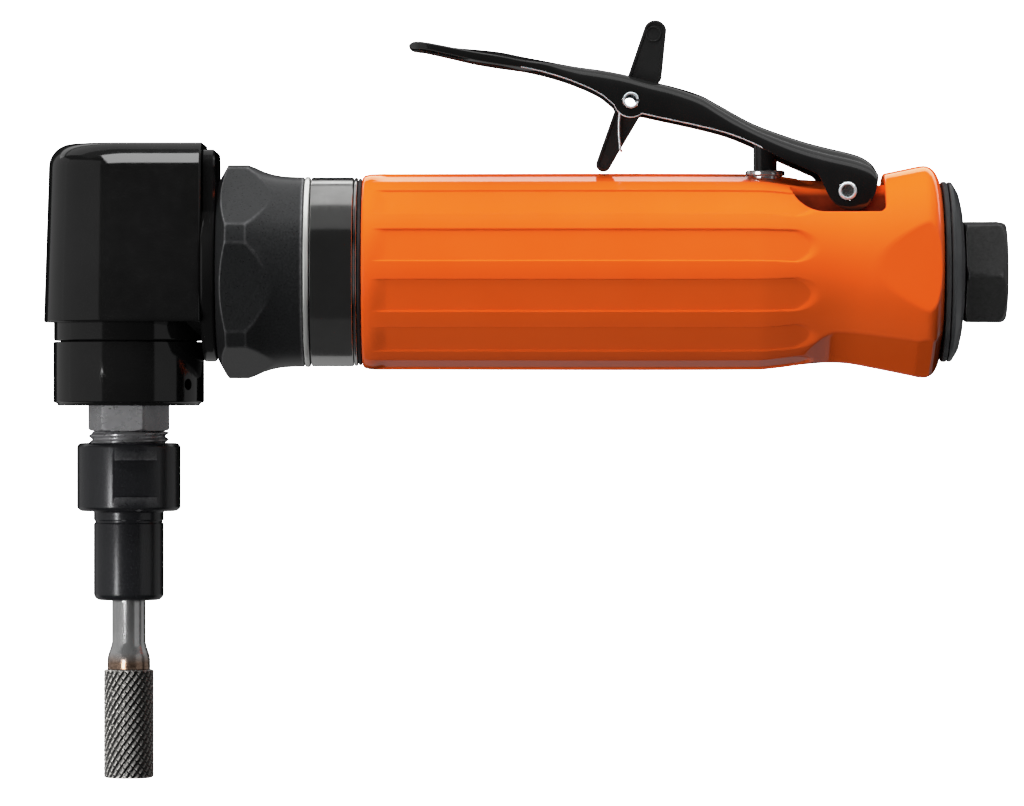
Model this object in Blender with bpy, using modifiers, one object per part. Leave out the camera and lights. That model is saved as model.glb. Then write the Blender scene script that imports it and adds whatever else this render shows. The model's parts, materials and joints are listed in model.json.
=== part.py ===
"""A right-angle pneumatic die grinder, as an assembly of its separate pieces.

The motor axis is the world X axis: the angle head is at -X and the air inlet at +X.
The origin is on that axis, in the middle of the grip. The spindle axis is vertical and
crosses the motor axis at SPINDLE_X. The camera side of the tool is -Y.
Lengths below are in millimetres, and MM turns them into Blender's metres.
"""

import math

import bmesh
import bpy
from mathutils import Matrix, Vector

MM = 0.001
QUARTER = math.pi / 2

# Driving dimensions ---------------------------------------------------------
SPINDLE_X = -100.0
GRIP_RADIUS = 18.6
GRIP_FRONT, GRIP_REAR = -55.5, 54.0
FIT = 0.15  # radial gap between turned pieces that sit in each other
SLIT = 0.2  # gap between faces that rest on each other

# Air motor, along X
MOTOR_BORE, MOTOR_OUTER = 14.8, 14.6
MOTOR_BORE_END = 4.6
FRONT_PLATE, CYLINDER, REAR_PLATE = (-46.3, -40.3), (-40.1, -1.9), (-1.7, 4.3)
CYLINDER_BORE, CYLINDER_OFFSET = 11.6, -1.0
ROTOR_RADIUS, ROTOR = 10.3, (-39.8, -2.2)
VANES, VANE_THICKNESS, VANE_INNER, VANE_OUTER = 5, 1.5, 5.1, 10.1
ROTOR_JOURNAL = 2.95

# Throttle
LEVER_PIVOT = (36.1, 15.1)
LEVER_SHEET = 1.2
LEVER_PIN_RADIUS = 1.75
LOCK_PIVOT = (-4.75, 32.3)
LOCK_PIN_RADIUS, LOCK_PIN_BORE = 1.6, 1.0
LOCK_THICKNESS = 5.0
STEM_X, STEM_RADIUS, STEM_TOP = 20.9, 2.25, 25.7
POCKET_FLOOR = 8.0  # half the width of the rib between the lever's ears
POCKET_FRONT, POCKET_REAR, POCKET_BOTTOM = 24.9, 43.1, 11.1
NOTCH_Z = 17.5

# Angle head and spindle
HEAD_RADIUS_BASE, HEAD_RADIUS_TOP = 16.1, 15.0
HEAD_BASE, HEAD_TOP, HEAD_FILLET, HEAD_REAR = -9.6, 24.2, 4.3, -85.6
BOSS_RADIUS, BOSS_BASE = 14.2, -13.1
PINION_TEETH, GEAR_TEETH, GEAR_MODULE, GEAR_FACE = 14, 18, 1.0, 4.0
COLLAR_RADIUS, COLLAR = 17.1, (-85.7, -83.1)
NUT_FLATS, NUT_RADIUS, NUT_CORNER_DEG = 18.45, 20.35, 20.0
SPINDLE_HEX_FLATS, SPINDLE_HEX_DEG = 6.8, 22.6
INLET_HEX_FLATS, INLET_HEX_DEG = 9.25, 55.0
SHANK_RADIUS, BURR_RADIUS = 3.175, 4.76
BURR_TOP, BURR_TIP = -75.5, -96.1

# Looks: (red, green, blue), roughness, metallic
ORANGE = ("orange_enamel", (0.86, 0.16, 0.02), 0.22, 0.0)
BLACK = ("black_oxide", (0.012, 0.012, 0.013), 0.35, 0.6)
GLOSS_BLACK = ("gloss_black", (0.008, 0.008, 0.009), 0.2, 0.0)
PLASTIC = ("black_plastic", (0.02, 0.02, 0.02), 0.45, 0.0)
STEEL = ("bright_steel", (0.62, 0.62, 0.62), 0.25, 1.0)
GREY_STEEL = ("grey_steel", (0.4, 0.4, 0.4), 0.35, 1.0)
CARBIDE = ("carbide", (0.2, 0.19, 0.18), 0.4, 1.0)
RUBBER = ("black_rubber", (0.015, 0.015, 0.015), 0.7, 0.0)
BRASS = ("brass", (0.7, 0.5, 0.2), 0.3, 1.0)
FELT = ("grey_felt", (0.3, 0.3, 0.28), 0.95, 0.0)
PHENOLIC = ("brown_phenolic", (0.25, 0.12, 0.05), 0.6, 0.0)


# Scene and object helpers ---------------------------------------------------
def clear_scene():
    for obj in list(bpy.data.objects):
        bpy.data.objects.remove(obj)


def new_collection(name):
    collection = bpy.data.collections.new(name)
    bpy.context.scene.collection.children.link(collection)
    return collection


clear_scene()
PARTS = new_collection("die_grinder")
CUTTERS = new_collection("cutters")


def look_of(look):
    """The Blender material for one of the looks above, made once."""
    name, colour, roughness, metallic = look
    made = bpy.data.materials.get(name)
    if made is None:
        made = bpy.data.materials.new(name)
        made.use_nodes = True
        shader = made.node_tree.nodes["Principled BSDF"]
        shader.inputs["Base Color"].default_value = (*colour, 1.0)
        shader.inputs["Roughness"].default_value = roughness
        shader.inputs["Metallic"].default_value = metallic
    return made


def axis_frame(name, x, z, along_x=False):
    """An empty on an axis of the tool. Its local Z runs along world X if along_x is set."""
    empty = bpy.data.objects.new(name, None)
    empty.location = Vector((x, 0, z)) * MM
    empty.rotation_euler = (0, QUARTER if along_x else 0, 0)
    PARTS.objects.link(empty)
    return empty


MOTOR_AXIS = axis_frame("motor_axis", 0, 0, along_x=True)
SPINDLE_AXIS = axis_frame("spindle_axis", SPINDLE_X, 0)
STEM_AXIS = axis_frame("stem_axis", STEM_X, 0)
LEVER_AXIS = axis_frame("lever_axis", *LEVER_PIVOT)
LOCK_AXIS = axis_frame("lock_axis", *LOCK_PIVOT)
BODY = axis_frame("body_frame", 0, 0)


def place(name, data, frame, look=None):
    """Adds the data as a named piece under its frame, or as a cutter if it has no look."""
    obj = bpy.data.objects.new(name, data)
    obj.parent = frame
    if look is None:
        CUTTERS.objects.link(obj)
        obj.hide_render = True
        obj.display_type = "WIRE"
        return obj
    PARTS.objects.link(obj)
    data.materials.append(look_of(look))
    return obj


def boolean(obj, operation, *others):
    for other in others:
        modifier = obj.modifiers.new(f"{operation.lower()}_{other.name}", "BOOLEAN")
        modifier.operation = operation
        modifier.object = other
    return obj


def cut(obj, *cutters):
    return boolean(obj, "DIFFERENCE", *cutters)


def join(obj, *others):
    return boolean(obj, "UNION", *others)


def turned(name, profile, frame, look=None, steps=18):
    """A turned piece. The profile is (along, radius) pairs: up the outer side, then back down the bore."""
    mesh = bpy.data.meshes.new(name)
    points = [(radius * MM, 0, along * MM) for along, radius in reversed(profile)]
    solid = profile[0][1] == 0 and profile[-1][1] == 0
    edges = [(i, i + 1) for i in range(len(points) - 1)]
    if not solid:
        edges.append((len(points) - 1, 0))
    mesh.from_pydata(points, edges, [])
    obj = place(name, mesh, frame, look)
    screw = obj.modifiers.new("turn", "SCREW")
    screw.steps = screw.render_steps = steps
    screw.use_merge_vertices = True
    screw.merge_threshold = 0.00001
    screw.use_smooth_shade = True
    return obj


def ring(name, start, end, inner, outer, frame, look=None, steps=14):
    """A plain ring, or a plain rod if its inner radius is 0."""
    return turned(name, [(start, inner), (start, outer), (end, outer), (end, inner)], frame, look, steps)


def finish_mesh(name, bm, frame, look):
    bmesh.ops.recalc_face_normals(bm, faces=bm.faces)
    mesh = bpy.data.meshes.new(name)
    bm.to_mesh(mesh)
    bm.free()
    mesh.shade_smooth()
    mesh.set_sharp_from_angle(angle=math.radians(30))
    return place(name, mesh, frame, look)


def box(name, low, high, frame, look=None, turn=None):
    """A box between two corners, turned about the frame's origin by the matrix, if there is one."""
    low, high = Vector(low), Vector(high)
    bm = bmesh.new()
    bmesh.ops.create_cube(bm, size=1)
    bmesh.ops.scale(bm, vec=(high - low) * MM, verts=bm.verts)
    bmesh.ops.translate(bm, vec=(high + low) / 2 * MM, verts=bm.verts)
    if turn is not None:
        bmesh.ops.transform(bm, matrix=turn, verts=bm.verts)
    return finish_mesh(name, bm, frame, look)


def rod(name, start, end, radius, frame, look=None, sides=24):
    """A round rod between two points."""
    start, end = Vector(start) * MM, Vector(end) * MM
    bm = bmesh.new()
    bmesh.ops.create_cone(
        bm,
        cap_ends=True,
        segments=sides,
        radius1=radius * MM,
        radius2=radius * MM,
        depth=(end - start).length,
    )
    turn = (end - start).to_track_quat("Z", "Y").to_matrix().to_4x4()
    bmesh.ops.transform(bm, matrix=Matrix.Translation((start + end) / 2) @ turn, verts=bm.verts)
    return finish_mesh(name, bm, frame, look)


def hexagon(name, start, end, half_flats, corner_deg, frame, look=None):
    """A hexagonal prism along the frame's Z with a corner at that angle from its local X."""
    bm = bmesh.new()
    radius = half_flats / math.cos(math.pi / 6) * MM
    bmesh.ops.create_cone(
        bm, cap_ends=True, segments=6, radius1=radius, radius2=radius, depth=(end - start) * MM
    )
    first = max(bm.verts, key=lambda v: (round(v.co.y, 7), v.co.z)).co
    turn = math.radians(corner_deg) - math.atan2(first.y, first.x)
    bmesh.ops.rotate(bm, matrix=Matrix.Rotation(turn, 3, "Z"), verts=bm.verts)
    bmesh.ops.translate(bm, vec=(0, 0, (start + end) / 2 * MM), verts=bm.verts)
    return finish_mesh(name, bm, frame, look)


def arc(centre_x, centre_z, radius, from_deg, to_deg, pieces):
    """Points on an arc, both ends included."""
    turn = [from_deg + (to_deg - from_deg) * i / pieces for i in range(pieces + 1)]
    return [
        (centre_x + radius * math.cos(math.radians(a)), centre_z + radius * math.sin(math.radians(a)))
        for a in turn
    ]


def plate(name, outline, y_low, y_high, frame, look=None):
    """A flat outline in the XZ plane, as a filled curve with an extrusion, made into a mesh."""
    curve = bpy.data.curves.new(name, "CURVE")
    curve.dimensions = "2D"
    curve.fill_mode = "BOTH"
    curve.extrude = (y_high - y_low) / 2 * MM
    spline = curve.splines.new("POLY")
    spline.points.add(len(outline) - 1)
    for point, (x, z) in zip(spline.points, outline):
        point.co = (x * MM, z * MM, 0, 1)
    spline.use_cyclic_u = True
    flat = place(name + "_curve", curve, frame)
    flat.rotation_euler = (QUARTER, 0, 0)
    flat.location = (0, (y_low + y_high) / 2 * MM, 0)
    bpy.context.view_layer.update()
    made = bpy.data.meshes.new_from_object(flat.evaluated_get(bpy.context.evaluated_depsgraph_get()))
    bm = bmesh.new()
    bm.from_mesh(made)
    bmesh.ops.remove_doubles(bm, verts=bm.verts, dist=0.000001)
    bmesh.ops.transform(bm, matrix=flat.matrix_basis, verts=bm.verts)
    bpy.data.objects.remove(flat)
    return finish_mesh(name, bm, frame, look)


def loft(name, rings, frame, look=None):
    """A solid through closed rings of points, which all have the same number of points."""
    bm = bmesh.new()
    rows = [[bm.verts.new(Vector(p) * MM) for p in points] for points in rings]
    count = len(rows[0])
    for row, after in zip(rows, rows[1:]):
        for i in range(count):
            bm.faces.new((row[i], row[(i + 1) % count], after[(i + 1) % count], after[i]))
    bm.faces.new(rows[0])
    bm.faces.new(rows[-1])
    return finish_mesh(name, bm, frame, look)


def wire(name, points, radius, frame, look, resolution=1):
    """A round wire through points."""
    curve = bpy.data.curves.new(name, "CURVE")
    curve.dimensions = "3D"
    curve.bevel_depth = radius * MM
    curve.bevel_resolution = resolution
    curve.use_fill_caps = True
    spline = curve.splines.new("POLY")
    spline.points.add(len(points) - 1)
    for point, place_at in zip(spline.points, points):
        point.co = (*(Vector(place_at) * MM), 1)
    return place(name, curve, frame, look)


def elevation_to_local(degrees):
    """The angle from local X, in a frame whose Z runs along world X, of a corner seen that high on the -Y side."""
    return 270.0 - degrees


def smooth(points, x):
    """The value at x of a smooth line through (x, value) points, which stays between its points."""
    ends = [points[0]] + points + [points[-1]]
    for before, low, high, after in zip(ends, ends[1:], ends[2:], ends[3:]):
        if low[0] <= x <= high[0] and low[0] < high[0]:
            break
    run = high[0] - low[0]
    share = (x - low[0]) / run
    slope_low = (high[1] - before[1]) / (high[0] - before[0]) * run
    slope_high = (after[1] - low[1]) / (after[0] - low[0]) * run
    rise = high[1] - low[1]
    curve_low, curve_high = slope_low - rise, rise - slope_high
    return low[1] + share * rise + share * (1 - share) * ((1 - share) * curve_low + share * curve_high)


# Handle ---------------------------------------------------------------------
HANDLE_PROFILE = [
    (GRIP_FRONT, 0),
    (GRIP_FRONT, 17.8),
    (-55.1, 18.25),
    (-53.5, 18.55),
    (-50.0, GRIP_RADIUS),
    (19.0, GRIP_RADIUS),
    (23.5, 18.2),
    (28.0, 17.6),
    (32.5, 17.25),
    (36.5, 17.4),
    (41.5, 18.3),
    (46.7, 19.35),
    (50.5, 20.1),
    (51.6, 20.0),
    (52.7, 19.3),
    (53.5, 18.0),
    (GRIP_REAR, 16.4),
    (GRIP_REAR, 0),
]
FLUTES, FLUTE_WIDTH, FLUTE_FLOOR, FLUTE_FRONT, FLUTE_REAR = 12, 6.3, 18.1, -52.8, 30.0
FLARE_FLAT = 18.3
FLARE_FLAT_TURNS = (0, 65, 115, 180, 245, 295)
EXHAUST_RADIUS, EXHAUST_HOLE, EXHAUST_TURNS = 12.7, 1.8, (-55, -90, -125)
FEED_Z, FEED_RADIUS = 11.0, 1.5
INLET_BORE, INLET_BORE_END = 7.25, 35.5
INLET_DROP, INLET_PASSAGE = -3.0, 3.0
VALVE_BORE, VALVE_FLOOR, SPOT_FACE_Z = 3.35, -9.0, 18.15


def handle_flutes():
    """The shallow flat-bottomed flutes between the grip's narrow ribs."""
    pitch = 2 * math.pi / FLUTES
    half = FLUTE_WIDTH / 2
    for i in range(FLUTES):
        turn = Matrix.Rotation(pitch * (i + 0.5), 4, "X")
        low = (FLUTE_FRONT, -half, FLUTE_FLOOR)
        yield box(f"cut_flute_{i}", low, (FLUTE_REAR, half, GRIP_RADIUS + 4), BODY, turn=turn)


def handle_flats():
    """The flats on the flared rear end, which keep the tool from rolling."""
    for degrees in FLARE_FLAT_TURNS:
        turn = Matrix.Rotation(math.radians(degrees) - QUARTER, 4, "X")
        low = (36.0, -15, FLARE_FLAT)
        yield box(f"cut_flat_{degrees}", low, (60, 15, 25), BODY, turn=turn)


def handle_pockets():
    """The two pockets that the lever's ears swing in, and the notch above the rib between them."""
    sweep = 7.0
    corner = 1.2
    outline = (
        [(POCKET_FRONT, 26)]
        + arc(POCKET_FRONT + sweep, POCKET_BOTTOM + sweep, sweep, 180, 270, 5)
        + arc(POCKET_REAR - corner, POCKET_BOTTOM + corner, corner, 270, 360, 2)
        + [(POCKET_REAR, 26)]
    )
    yield plate("cut_pocket_left", outline, -24, -POCKET_FLOOR, BODY)
    yield plate("cut_pocket_right", outline, POCKET_FLOOR, 24, BODY)
    half = POCKET_FLOOR + 1
    yield box("cut_notch", (27.0, -half, NOTCH_Z), (POCKET_REAR, half, 26), BODY)
    yield box("cut_heel_notch", (39.3, -half, NOTCH_Z - 1.3), (POCKET_REAR, half, 26), BODY)


def handle_bores():
    """Motor bore, valve bore, air passages, exhaust passages and the hole for the lever's pin."""
    yield rod("cut_motor", (GRIP_FRONT - 1, 0, 0), (MOTOR_BORE_END, 0, 0), MOTOR_BORE, BODY, sides=32)
    yield rod("cut_inlet", (INLET_BORE_END, 0, 0), (GRIP_REAR + 1, 0, 0), INLET_BORE, BODY, sides=20)
    drop = INLET_DROP
    yield rod("cut_passage", (STEM_X, 0, drop), (INLET_BORE_END + 1, 0, drop), INLET_PASSAGE, BODY, sides=12)
    valve = turned(
        "cut_valve",
        [(VALVE_FLOOR, 0), (VALVE_FLOOR, VALVE_BORE), (SPOT_FACE_Z, VALVE_BORE)]
        + [(SPOT_FACE_Z, 4.2), (22, 4.2), (22, 0)],
        STEM_AXIS,
        steps=18,
    )
    valve.rotation_euler = (0, 0, math.radians(4))  # keeps its corners off the handle's own edges
    yield valve
    yield rod("cut_feed", (MOTOR_BORE_END - 1, 0, FEED_Z), (STEM_X, 0, FEED_Z), FEED_RADIUS, BODY, sides=8)
    for i, degrees in enumerate(EXHAUST_TURNS):
        y = EXHAUST_RADIUS * math.cos(math.radians(degrees))
        z = EXHAUST_RADIUS * math.sin(math.radians(degrees))
        start, end = (MOTOR_BORE_END - 1, y, z), (GRIP_REAR + 1, y, z)
        yield rod(f"cut_exhaust_{i}", start, end, EXHAUST_HOLE, BODY, sides=10)
    x, z = LEVER_PIVOT
    yield rod("cut_lever_pin", (x, -12, z), (x, 12, z), LEVER_PIN_RADIUS + FIT, BODY, sides=20)


def make_handle():
    handle = turned("handle_housing", HANDLE_PROFILE, MOTOR_AXIS, ORANGE, steps=36)
    cut(handle, *handle_bores(), *handle_pockets(), *handle_flats(), *handle_flutes())


# Throttle lever and lock-off lever -------------------------------------------
# Outlines from the tip to the heel, as (x, value) points joined by a smooth line
LEVER_ROOF = [(-46.7, 42.5), (-44.9, 43.3), (-38.6, 41.8), (-22.1, 39.8), (-3.3, 36.6), (2.2, 35.2)]
LEVER_ROOF += [(16.0, 28.9), (27.0, 25.1), (37.2, 22.3), (40.4, 20.6), (41.9, 18.5)]
LEVER_EDGE = [(-46.7, 41.2), (-38.6, 40.0), (-22.1, 37.3), (-12.6, 34.3), (-7.0, 30.6), (-1.6, 29.5)]
LEVER_EDGE += [(12.0, 26.4), (24.0, 21.1), (29.0, 18.4), (33.0, 14.2), (40.2, 14.2), (41.9, 16.4)]
LEVER_HALF_WIDTH = [(-46.7, 4.6), (-44.6, 7.8), (-40.0, 9.0), (-32.0, 9.0), (-13.0, 7.7), (-6.0, 7.4)]
LEVER_HALF_WIDTH += [(4.0, 7.4), (16.0, 8.2), (28.5, 9.6), (41.9, 9.6)]
LEVER_STEPS = [(-46.7, 0.7, 3), (-44.4, 2.7, 2), (-38.6, 5.5, 3), (-21.5, 4.3, 3), (-8.6, 1.3, 6)]
LEVER_STEPS += [(-0.2, 4.3, 7), (29.5, 1.3, 10), (41.9, 1, 1)]  # first x, spacing, count
LOCK_BOSS, LEVER_EAR = 3.3, 3.75
LOCK_SLOT = (-6.4, 12.2, 2.85)  # front, rear and half width of the slot in the lever's roof
LOCK_HEAD, LOCK_HEAD_RADIUS = (-0.05, 45.55), 2.15
LOCK_FOOT, LOCK_FOOT_RADIUS = (-9.8, 20.5), 1.4


def boss_edge(x, centre, radius):
    """The lower edge of a round boss at x, or a height above the whole tool beside the boss."""
    across = x - centre[0]
    return centre[1] - math.sqrt(radius**2 - across**2) if abs(across) < radius else 99


def lever_section(x):
    """The bent sheet's outline at x: the outer side over the top, then the inner side back."""
    sheet = LEVER_SHEET
    roof, half = smooth(LEVER_ROOF, x), smooth(LEVER_HALF_WIDTH, x)
    bosses = (boss_edge(x, LOCK_PIVOT, LOCK_BOSS), boss_edge(x, LEVER_PIVOT, LEVER_EAR))
    lower_edge = min(smooth(LEVER_EDGE, x), *bosses)
    bend = min(1.3, (roof - lower_edge) * 0.6)
    crown = 0.25
    inner_half, inner_roof = half - sheet, roof - sheet
    inner_low = min(lower_edge, inner_roof - 0.15)
    inner_bend = max(0.12, min(bend - 0.6, (inner_roof - inner_low) * 0.6))
    outer = [
        (half, lower_edge),
        (half, roof - bend),
        (half - bend, roof),
        (0, roof + crown),
    ]
    inner = [
        (inner_half, inner_low),
        (inner_half, inner_roof - inner_bend),
        (inner_half - inner_bend, inner_roof),
        (0, inner_roof + crown),
    ]
    def over(side):
        return side + [(-y, z) for y, z in reversed(side[:-1])]

    ring_points = over(outer) + list(reversed(over(inner)))
    pivot_x, pivot_z = LEVER_PIVOT
    return [(x - pivot_x, y, z - pivot_z) for y, z in ring_points]


def make_lever():
    stations = [start + spacing * i for start, spacing, count in LEVER_STEPS for i in range(count)]
    lever = loft("throttle_lever", [lever_section(x) for x in stations], LEVER_AXIS, BLACK)
    front, rear, half = LOCK_SLOT
    pivot_x, pivot_z = LOCK_PIVOT
    cut(
        lever,
        box("cut_lock_slot", (front, -half, 26.0), (rear, half, 44.0), BODY),
        rod("cut_lever_bore", (0, -12, 0), (0, 12, 0), LEVER_PIN_RADIUS + FIT, LEVER_AXIS, sides=20),
        rod(
            "cut_lock_bore",
            (pivot_x, -12, pivot_z),
            (pivot_x, 12, pivot_z),
            LOCK_PIN_RADIUS + FIT,
            BODY,
            sides=16,
        ),
    )
    half_length = 10.0
    x, z = LEVER_PIVOT
    pin = rod(
        "lever_pivot_pin", (x, -half_length, z), (x, half_length, z), LEVER_PIN_RADIUS, BODY, STEEL, sides=20
    )
    for side in (-1, 1):
        tip = half_length * side
        bottom = tip - 0.7 * side
        dimple = rod(f"cut_pin_end_{side}", (x, bottom, z), (x, tip + side, z), 1.0, BODY, sides=12)
        cut(pin, dimple)


def make_lock():
    """The lock-off lever: thumb arm above its pin, foot arm below, its spring and its slotted pin."""
    pivot_x, pivot_z = LOCK_PIVOT
    outline = (
        arc(*LOCK_HEAD, LOCK_HEAD_RADIUS, 8, 165, 8)
        + [(-5.1, 37.4), (-7.5, 31.2)]
        + arc(*LOCK_FOOT, LOCK_FOOT_RADIUS, 165, 325, 7)
        + [(-7.0, 22.6), (-3.1, 29.2), (-1.6, 32.6), (1.15, 36.6)]
    )
    local = [(x - pivot_x, z - pivot_z) for x, z in outline]
    half = LOCK_THICKNESS / 2
    lock = plate("lock_lever", local, -half, half, LOCK_AXIS, PLASTIC)
    cut(lock, rod("cut_lock_eye", (0, -8, 0), (0, 8, 0), LOCK_PIN_RADIUS + FIT, LOCK_AXIS, sides=16))
    half_pin = 7.7
    pin = rod("lock_pin", (0, -half_pin, 0), (0, half_pin, 0), LOCK_PIN_RADIUS, LOCK_AXIS, STEEL, sides=16)
    cut(
        pin,
        rod("cut_pin_bore", (0, -9, 0), (0, 9, 0), LOCK_PIN_BORE, LOCK_AXIS, sides=16),
        box("cut_pin_slit", (0.5, -9, -0.2), (2.5, 9, 0.2), LOCK_AXIS),
    )
    make_lock_spring()


def make_lock_spring():
    """A torsion spring round the pin beside the lock. Its long leg hooks behind the foot arm."""
    wire_radius, coil_radius, pitch, turns, per_turn = 0.22, 2.25, 0.55, 3, 8
    side_y, start = -3.0, math.radians(-150)
    coil = []
    for i in range(turns * per_turn + 1):
        angle = start + 2 * math.pi * i / per_turn
        y = side_y - pitch * i / per_turn
        coil.append((coil_radius * math.cos(angle), y, coil_radius * math.sin(angle)))
    long_leg = [(-1.72, -1.0, -9.4), (-1.72, -2.6, -9.4), (-1.95, side_y, -8.8), (-2.2, side_y, -5.0)]
    last_y = coil[-1][1]
    short_leg = [(0.2, last_y, -2.6), (3.4, last_y, -1.2)]
    wire("lock_spring", long_leg + coil + short_leg, wire_radius, LOCK_AXIS, STEEL)


# Throttle valve ---------------------------------------------------------------
BUSHING_LOW, BUSHING_RADIUS, BUSHING_BORE = 4.6, 3.2, 2.4
STEM_STEP, STEM_LOW, STEM_SLIM = 16.6, 1.5, 1.0


def make_valve():
    flange_low = SPOT_FACE_Z + 0.1
    turned(
        "throttle_stem",
        [(STEM_LOW, 0), (STEM_LOW, STEM_SLIM), (STEM_STEP, STEM_SLIM), (STEM_STEP, STEM_RADIUS)]
        + [(STEM_TOP - 1.6, STEM_RADIUS), (STEM_TOP - 0.7, 1.85), (STEM_TOP - 0.15, 1.0), (STEM_TOP, 0)],
        STEM_AXIS,
        PLASTIC,
        steps=16,
    )
    bushing = turned(
        "throttle_bushing",
        [(BUSHING_LOW, BUSHING_BORE), (BUSHING_LOW, BUSHING_RADIUS), (flange_low, BUSHING_RADIUS)]
        + [(flange_low, 3.75), (flange_low + 0.7, 3.75), (flange_low + 1.0, 3.4)]
        + [(flange_low + 1.0, BUSHING_BORE)],
        STEM_AXIS,
        STEEL,
        steps=20,
    )
    cut(bushing, rod("cut_bushing_port", (-6, 0, FEED_Z), (-1, 0, FEED_Z), 1.3, STEM_AXIS, sides=10))
    ring("valve_gasket", 3.4, BUSHING_LOW - SLIT, 1.6, 3.15, STEM_AXIS, RUBBER)
    ring("valve_seat", 1.6, 3.4 - SLIT, 1.6, 3.15, STEM_AXIS, BRASS)
    turned(
        "valve_poppet",
        [(-1.2, 0), (-1.2, 1.2), (0.1, 1.2), (0.1, 2.7), (0.9, 2.7), (STEM_LOW - 0.1, 2.1), (STEM_LOW - 0.1, 0)],
        STEM_AXIS,
        RUBBER,
        steps=16,
    )
    turns, per_turn, low, high = 4, 8, VALVE_FLOOR + 0.5, -0.3
    points = []
    for i in range(turns * per_turn + 1):
        angle = 2 * math.pi * i / per_turn
        height = low + (high - low) * i / (turns * per_turn)
        points.append((2.2 * math.cos(angle), 2.2 * math.sin(angle), height))
    wire("valve_spring", points, 0.3, STEM_AXIS, STEEL)


# Air inlet and exhaust ----------------------------------------------------------
def make_inlet():
    hex_start, hex_end = 58.6, 66.5
    spigot_radius, spigot_end = INLET_BORE - FIT, 36.0
    bushing = turned(
        "inlet_bushing",
        [(spigot_end, 4.5), (spigot_end, spigot_radius), (hex_start, spigot_radius), (hex_start, 10.45)]
        + [(hex_end - 1.3, 10.7), (hex_end, 9.0), (hex_end, 6.5), (hex_end - 0.9, 5.65), (50.0, 5.65), (50.0, 4.5)],
        MOTOR_AXIS,
        BLACK,
        steps=20,
    )
    corner = elevation_to_local(INLET_HEX_DEG)
    boolean(
        bushing,
        "INTERSECT",
        hexagon("keep_inlet_hex", spigot_end - 2, hex_end + 2, INLET_HEX_FLATS, corner, MOTOR_AXIS),
    )
    turned(
        "inlet_strainer",
        [(37.0, 0), (37.0, 3.4), (38.0, 4.3), (48.5, 4.3), (48.5, 3.9), (38.4, 3.9), (37.5, 3.0), (37.5, 0)],
        MOTOR_AXIS,
        BRASS,
        steps=14,
    )


def make_exhaust():
    ring("exhaust_gasket", GRIP_REAR + SLIT, 55.2, 15.0, 17.15, MOTOR_AXIS, RUBBER, steps=28)
    cover = turned(
        "exhaust_cover",
        [(55.4, 16.0), (55.4, 17.1), (56.1, 17.1), (57.4, 14.8), (58.1, 11.0), (58.4, 7.4)]
        + [(57.4, 7.4), (57.15, 10.8), (56.5, 13.9), (56.0, 16.0)],
        MOTOR_AXIS,
        GLOSS_BLACK,
        steps=28,
    )
    holes, hole_circle = 8, 12.2
    for i in range(holes):
        angle = 2 * math.pi * (i + 0.5) / holes
        y, z = hole_circle * math.cos(angle), hole_circle * math.sin(angle)
        cut(cover, rod(f"cut_vent_{i}", (55, y, z), (60, y, z), 1.0, BODY, sides=6))
    ring("muffler_felt", 54.4, 56.2, 7.5, 13.4, MOTOR_AXIS, FELT)


# Air motor ----------------------------------------------------------------------
def bearing(name, start, width, inner, outer, frame, steps=16):
    """A shielded ball bearing as its two rings, with a narrow running gap between them."""
    wall = (outer - inner) / 2
    ring(f"{name}_inner", start, start + width, inner, inner + wall - 0.12, frame, STEEL, steps)
    ring(f"{name}_outer", start, start + width, inner + wall + 0.12, outer, frame, STEEL, steps)


BEARING_SEAT = 8.0


def make_end_plates():
    seat_front, seat_rear = FRONT_PLATE[1] - 1.2, REAR_PLATE[0] + 1.2
    front = turned(
        "front_end_plate",
        [(FRONT_PLATE[0], BEARING_SEAT + FIT), (FRONT_PLATE[0], MOTOR_OUTER), (FRONT_PLATE[1], MOTOR_OUTER)]
        + [(FRONT_PLATE[1], 3.6), (seat_front, 3.6), (seat_front, BEARING_SEAT + FIT)],
        MOTOR_AXIS,
        GREY_STEEL,
    )
    rear = turned(
        "rear_end_plate",
        [(REAR_PLATE[0], 3.6), (REAR_PLATE[0], MOTOR_OUTER), (REAR_PLATE[1], MOTOR_OUTER)]
        + [(REAR_PLATE[1], BEARING_SEAT + FIT), (seat_rear, BEARING_SEAT + FIT), (seat_rear, 3.6)],
        MOTOR_AXIS,
        GREY_STEEL,
    )
    cut(
        rear,
        rod("cut_plate_feed", (-3, 0, FEED_Z + 0.6), (6, 0, FEED_Z + 0.6), 1.4, BODY, sides=12),
        box("cut_plate_exhaust", (-3, -3, -16), (6, 3, -13.0), BODY),
    )
    bearing("front_rotor_bearing", FRONT_PLATE[0] + 0.1, 4.6, 3.15, BEARING_SEAT, MOTOR_AXIS)
    bearing("rear_rotor_bearing", seat_rear + 0.2, 4.3, 3.15, BEARING_SEAT, MOTOR_AXIS)
    return front, rear


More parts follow.
